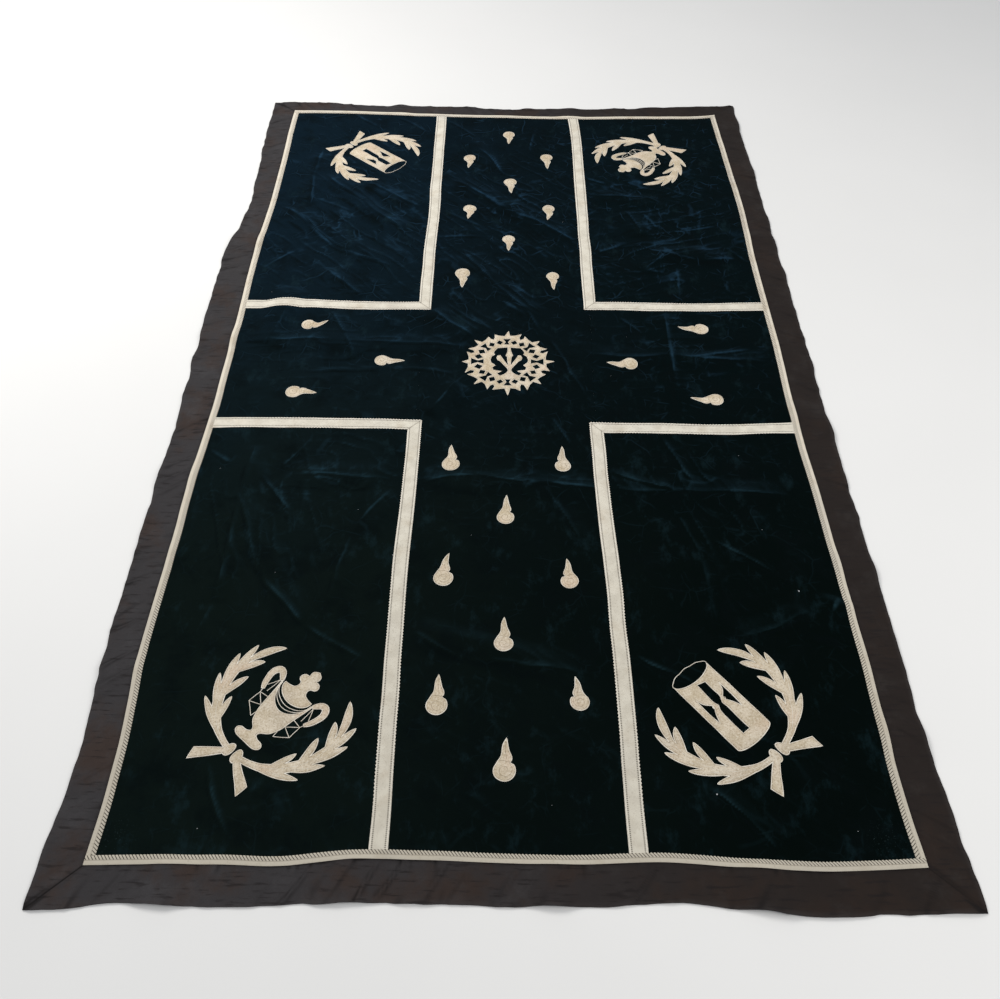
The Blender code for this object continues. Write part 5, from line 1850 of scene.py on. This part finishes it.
def border_material():
    """Faded cotton, greyer to the left and browner to the right, with painted shade that darkens it to the right and
    in its folds, and a fine weave.
    """
    shade = Shade("border_cotton", 0.85)
    shade.shader.inputs["Specular IOR Level"].default_value = 0.10
    shade.shader.inputs["Sheen Weight"].default_value = 0.03
    shade.shader.inputs["Sheen Roughness"].default_value = 0.5
    shade.shader.inputs["Sheen Tint"].default_value = (0.75, 0.72, 0.72, 1.0)
    split = shade.node("ShaderNodeSeparateXYZ")
    shade.link(shade.places, split.inputs[0])
    # Painted shade: the border darkens towards the right as the light falls off; it is also browner there.
    right = shade.between(split.outputs[0], -0.7, 0.7)
    plain = shade.mix(right, (0.036, 0.034, 0.036), (0.0150, 0.0110, 0.0095))
    brown = shade.mix(right, (0.040, 0.028, 0.024), (0.0200, 0.0130, 0.0100))
    patches = shade.between(shade.noise(5.5, 5.0, rough=0.65), 0.46, 0.66)
    colour = shade.mix(patches, plain, brown)
    faded = shade.between(shade.noise(13.0, 5.0, rough=0.65), 0.48, 0.76)
    pale = shade.mix(right, (0.056, 0.054, 0.057), (0.030, 0.026, 0.024))
    colour = shade.mix(shade.maths("MULTIPLY", faded, 0.6), colour, pale)
    part, _, folds = shade.lay()
    hem = shade.between(part, 0.86, 1.0)
    colour = shade.mix(shade.maths("MULTIPLY", hem, 0.25), colour, (0.055, 0.050, 0.049))
    threads = shade.noise(1.0, 2.0, stretch=(2600.0, 260.0, 1.0))
    crossing = shade.noise(1.0, 2.0, stretch=(260.0, 2600.0, 1.0))
    weave = shade.maths("ADD", threads, crossing)
    colour = shade.mix(shade.maths("MULTIPLY", shade.between(weave, 0.8, 1.2), 0.35), colour, (0.016, 0.013, 0.012))
    # Painted shade: thin dark lines across the strip, in its folds.
    lines = shade.noise(1.0, 4.0, stretch=(16.0, 120.0, 1.0), rough=0.6)
    lines = shade.maths("MULTIPLY", shade.between(lines, 0.54, 0.66), 0.65)
    colour = shade.mix(lines, colour, (0.010, 0.008, 0.008))
    # Painted shade in the folds and beside the seam, and the dark mitre lines.
    colour = shade.mix(folds, colour, (0.006, 0.005, 0.005))
    creases = shade.noise(70.0, 4.0, rough=0.6)
    normal = shade.bump(creases, 0.0018, 0.8)
    normal = shade.bump(weave, 0.0003, 0.5, normal)
    return shade.finish(colour, normal)


def grime_and_near_shade(shade, colour, amount, near_shade):
    """Soiling over a pale cloth in patches and in specks, and painted shade that darkens the near half."""
    soiled = shade.between(shade.noise(18.0, 5.0, rough=0.6), 0.48, 0.75)
    colour = shade.mix(shade.maths("MULTIPLY", soiled, amount), colour, (0.42, 0.33, 0.22))
    grey = shade.between(shade.noise(7.0, 4.0), 0.50, 0.72)
    colour = shade.mix(shade.maths("MULTIPLY", grey, amount * 0.7), colour, (0.50, 0.47, 0.43))
    split = shade.node("ShaderNodeSeparateXYZ")
    shade.link(shade.places, split.inputs[0])
    # Painted shade: the near half darker and greyer.
    near = shade.maths("MULTIPLY", shade.between(split.outputs[1], 0.1, -1.4), near_shade)
    colour = shade.mix(near, colour, (0.34, 0.31, 0.25))
    specks = shade.between(shade.noise(230.0, 3.0, rough=0.65), 0.56, 0.70)
    return shade.mix(shade.maths("MULTIPLY", specks, 0.5), colour, (0.30, 0.26, 0.20))


def wave(shade, value, pitch):
    """A wave from 0 to 1 with its crests a pitch apart."""
    turned_value = shade.maths("MULTIPLY", value, 2 * math.pi / pitch)
    return shade.maths("MULTIPLY_ADD", shade.maths("COSINE", turned_value), 0.5, 0.5)


def wide_tape_material():
    """Cream tape: crosswise ribs, bright looped edges and dark slits just inside them."""
    shade = Shade("wide_tape", 0.85)
    shade.shader.inputs["Specular IOR Level"].default_value = 0.2
    aside, along, seam = shade.lay()
    reach = shade.maths("ABSOLUTE", aside)
    edge = shade.between(reach, 0.0145, 0.0160)
    middle = shade.mix(shade.between(shade.noise(30.0, 3.0), 0.35, 0.65), (0.60, 0.56, 0.47), (0.70, 0.66, 0.56))
    colour = shade.mix(edge, middle, (0.78, 0.73, 0.63))
    colour = grime_and_near_shade(shade, colour, 0.35, 0.30)
    from_slit = shade.maths("ABSOLUTE", shade.maths("SUBTRACT", reach, 0.0134))
    band = shade.between(from_slit, 0.0022, 0.0008)
    slit = shade.maths("MULTIPLY", band, shade.between(wave(shade, along, PICOT_PITCH / 2), 0.25, 0.7))
    colour = shade.mix(slit, colour, (0.06, 0.052, 0.045))
    colour = shade.mix(shade.maths("MULTIPLY", seam, 0.6), colour, (0.16, 0.13, 0.10))
    ribs = wave(shade, along, 0.0019)
    lengthwise = wave(shade, aside, 0.0036)
    cloth = shade.maths("MULTIPLY_ADD", lengthwise, 0.4, ribs)
    colour = shade.mix(shade.maths("MULTIPLY", shade.between(ribs, 0.6, 0.0), 0.22), colour, (0.36, 0.31, 0.25))
    normal = shade.bump(shade.noise(160.0, 4.0), 0.0008, 0.6)
    normal = shade.bump(cloth, 0.0003, 0.7, normal)
    return shade.finish(colour, normal)


def edging_material():
    """Narrow cream edging: two plain ribs, then slanting scallops with dark slits between."""
    shade = Shade("edging_tape", 0.85)
    shade.shader.inputs["Specular IOR Level"].default_value = 0.2
    aside, along, _ = shade.lay()
    colour = shade.mix(shade.noise(40.0, 3.0), (0.60, 0.54, 0.44), (0.72, 0.66, 0.55))
    colour = grime_and_near_shade(shade, colour, 0.45, 0.62)
    slanted = shade.maths("MULTIPLY_ADD", aside, ROPE_SLANT, along)
    scallops = wave(shade, slanted, ROPE_PITCH)
    inner = shade.between(aside, 0.0, 0.0012)
    slits = shade.maths("MULTIPLY", inner, shade.between(scallops, 0.30, 0.08))
    colour = shade.mix(slits, colour, (0.05, 0.042, 0.034))
    # Painted shade in the groove along the middle of the edging.
    groove_shade = shade.between(shade.maths("ABSOLUTE", aside), 0.0010, 0.0003)
    colour = shade.mix(shade.maths("MULTIPLY", groove_shade, 0.6), colour, (0.20, 0.17, 0.13))
    threads = wave(shade, shade.maths("MULTIPLY_ADD", aside, 1.0, along), 0.0016)
    normal = shade.bump(shade.noise(160.0, 4.0), 0.0008, 0.6)
    normal = shade.bump(threads, 0.0003, 0.6, normal)
    return shade.finish(colour, normal)


def cut_cloth_material():
    """Yellowed cream cotton, mottled and grained, with a dark sewn line just inside its corded edge."""
    shade = Shade("cut_cloth", 0.85)
    shade.shader.inputs["Specular IOR Level"].default_value = 0.2
    base = shade.mix(shade.between(shade.noise(26.0, 5.0), 0.38, 0.62), (0.50, 0.41, 0.28), (0.64, 0.55, 0.42))
    pink = shade.between(shade.noise(11.0, 3.0), 0.50, 0.70)
    base = shade.mix(shade.maths("MULTIPLY", pink, 0.6), base, (0.60, 0.45, 0.33))
    colour = grime_and_near_shade(shade, base, 0.45, 0.28)
    grain = shade.noise(230.0, 4.0, rough=0.7)
    colour = shade.mix(shade.maths("MULTIPLY", shade.between(grain, 0.50, 0.36), 0.55), colour, (0.27, 0.21, 0.13))
    colour = shade.mix(shade.maths("MULTIPLY", shade.between(grain, 0.54, 0.66), 0.5), colour, (0.80, 0.74, 0.62))
    inward = shade.number("inward")
    from_line = shade.maths("ABSOLUTE", shade.maths("SUBTRACT", inward, 1.9))
    dashes = shade.between(shade.noise(300.0, 2.0), 0.42, 0.56)
    sewn = shade.maths("MULTIPLY", shade.between(from_line, 0.9, 0.2), dashes)
    colour = shade.mix(shade.maths("MULTIPLY", sewn, 0.75), colour, (0.16, 0.12, 0.08))
    normal = shade.bump(shade.noise(120.0, 4.0), 0.0012, 0.8)
    normal = shade.bump(grain, 0.0006, 0.8, normal)
    return shade.finish(colour, normal)


def cord_material():
    """Whitish twisted cord."""
    shade = Shade("white_cord", 0.8)
    shade.shader.inputs["Specular IOR Level"].default_value = 0.25
    colour = shade.mix(shade.between(shade.noise(60.0, 3.0), 0.35, 0.7), (0.62, 0.56, 0.46), (0.82, 0.78, 0.69))
    fibres = shade.noise(900.0, 3.0)
    colour = shade.mix(shade.maths("MULTIPLY", shade.between(fibres, 0.55, 0.35), 0.4), colour, (0.36, 0.30, 0.22))
    return shade.finish(colour, shade.bump(fibres, 0.0004, 0.8))


def shaded_thread_material():
    """Sewing thread in dark brown, a painted shadow along the sewn lines."""
    shade = Shade("thread_painted_shade", 0.9)
    shade.shader.inputs["Specular IOR Level"].default_value = 0.1
    colour = shade.mix(shade.between(shade.noise(90.0, 3.0), 0.35, 0.7), (0.28, 0.22, 0.15), (0.48, 0.41, 0.31))
    return shade.finish(colour, shade.bump(shade.noise(900.0, 3.0), 0.0003, 0.6))


def lint_material():
    shade = Shade("lint", 0.9)
    colour = shade.mix(shade.noise(200.0, 2.0), (0.22, 0.24, 0.26), (0.45, 0.46, 0.46))
    return shade.finish(colour, shade.bump(shade.noise(900.0, 2.0), 0.0005))


def floor_material():
    shade = Shade("pale_floor", 0.7)
    shade.shader.inputs["Specular IOR Level"].default_value = 0.2
    colour = shade.mix(shade.noise(1.5, 3.0), (0.70, 0.695, 0.68), (0.74, 0.735, 0.72))
    return shade.finish(colour, shade.bump(shade.noise(60.0, 3.0), 0.0003, 0.2))


# Stage.


def make_stage():
    size = 14.0
    data = bpy.data.meshes.new("floor")
    half = size / 2
    data.from_pydata([(-half, -half, 0), (half, -half, 0), (half, half, 0), (-half, half, 0)], [], [(0, 1, 2, 3)])
    data.materials.append(floor_material())
    floor = bpy.data.objects.new("floor", data)
    floor.location.z = -0.5 * MM
    bpy.context.scene.collection.objects.link(floor)


def add_light(name, place, aim, size, power, colour):
    data = bpy.data.lights.new(name, "AREA")
    data.shape = "DISK"
    data.size = size
    data.energy = power
    data.color = colour
    light = bpy.data.objects.new(name, data)
    light.location = place
    light.rotation_euler = (Vector(aim) - Vector(place)).to_track_quat("-Z", "Y").to_euler()
    bpy.context.scene.collection.objects.link(light)


def make_lights():
    world = bpy.data.worlds.new("soft_room")
    world.use_nodes = True
    background = world.node_tree.nodes["Background"]
    background.inputs["Color"].default_value = (0.92, 0.95, 1.0, 1.0)
    background.inputs["Strength"].default_value = 0.55
    bpy.context.scene.world = world
    add_light("key", (-2.6, 1.8, 3.2), (0.0, 0.0, 0.0), 2.2, 150, (1.0, 0.98, 0.95))
    add_light("fill", (2.8, -1.6, 3.0), (0.0, -0.2, 0.0), 2.8, 70, (1.0, 0.98, 0.95))
    bpy.context.scene.view_settings.view_transform = "Standard"


def make_camera():
    data = bpy.data.cameras.new("camera")
    data.sensor_width = 36.0
    data.lens = CAMERA_LENS
    data.shift_y = CAMERA_SHIFT_UP
    data.clip_start = 0.05
    data.clip_end = 60.0
    camera = bpy.data.objects.new("camera", data)
    camera.location = CAMERA_PLACE
    camera.rotation_euler = (math.radians(CAMERA_PITCH), 0.0, math.radians(CAMERA_YAW))
    bpy.context.scene.collection.objects.link(camera)
    bpy.context.scene.camera = camera


make_camera()
make_stage()
make_lights()
velvet_pieces = make_velvet(
    {
        "velvet_left": velvet_material("velvet_left_pile", 0.0),
        "velvet_centre": velvet_material("velvet_centre_pile", 0.22),
        "velvet_right": velvet_material("velvet_right_pile", 0.05),
    }
)
make_border(border_material())
make_cross(wide_tape_material())
make_edging(edging_material(), velvet_pieces)
cloth_materials = {"cut": cut_cloth_material(), "cord": cord_material(), "thread": shaded_thread_material()}
make_tears(cloth_materials)
make_emblems(cloth_materials)
make_crown(cloth_materials)
make_specks(lint_material())
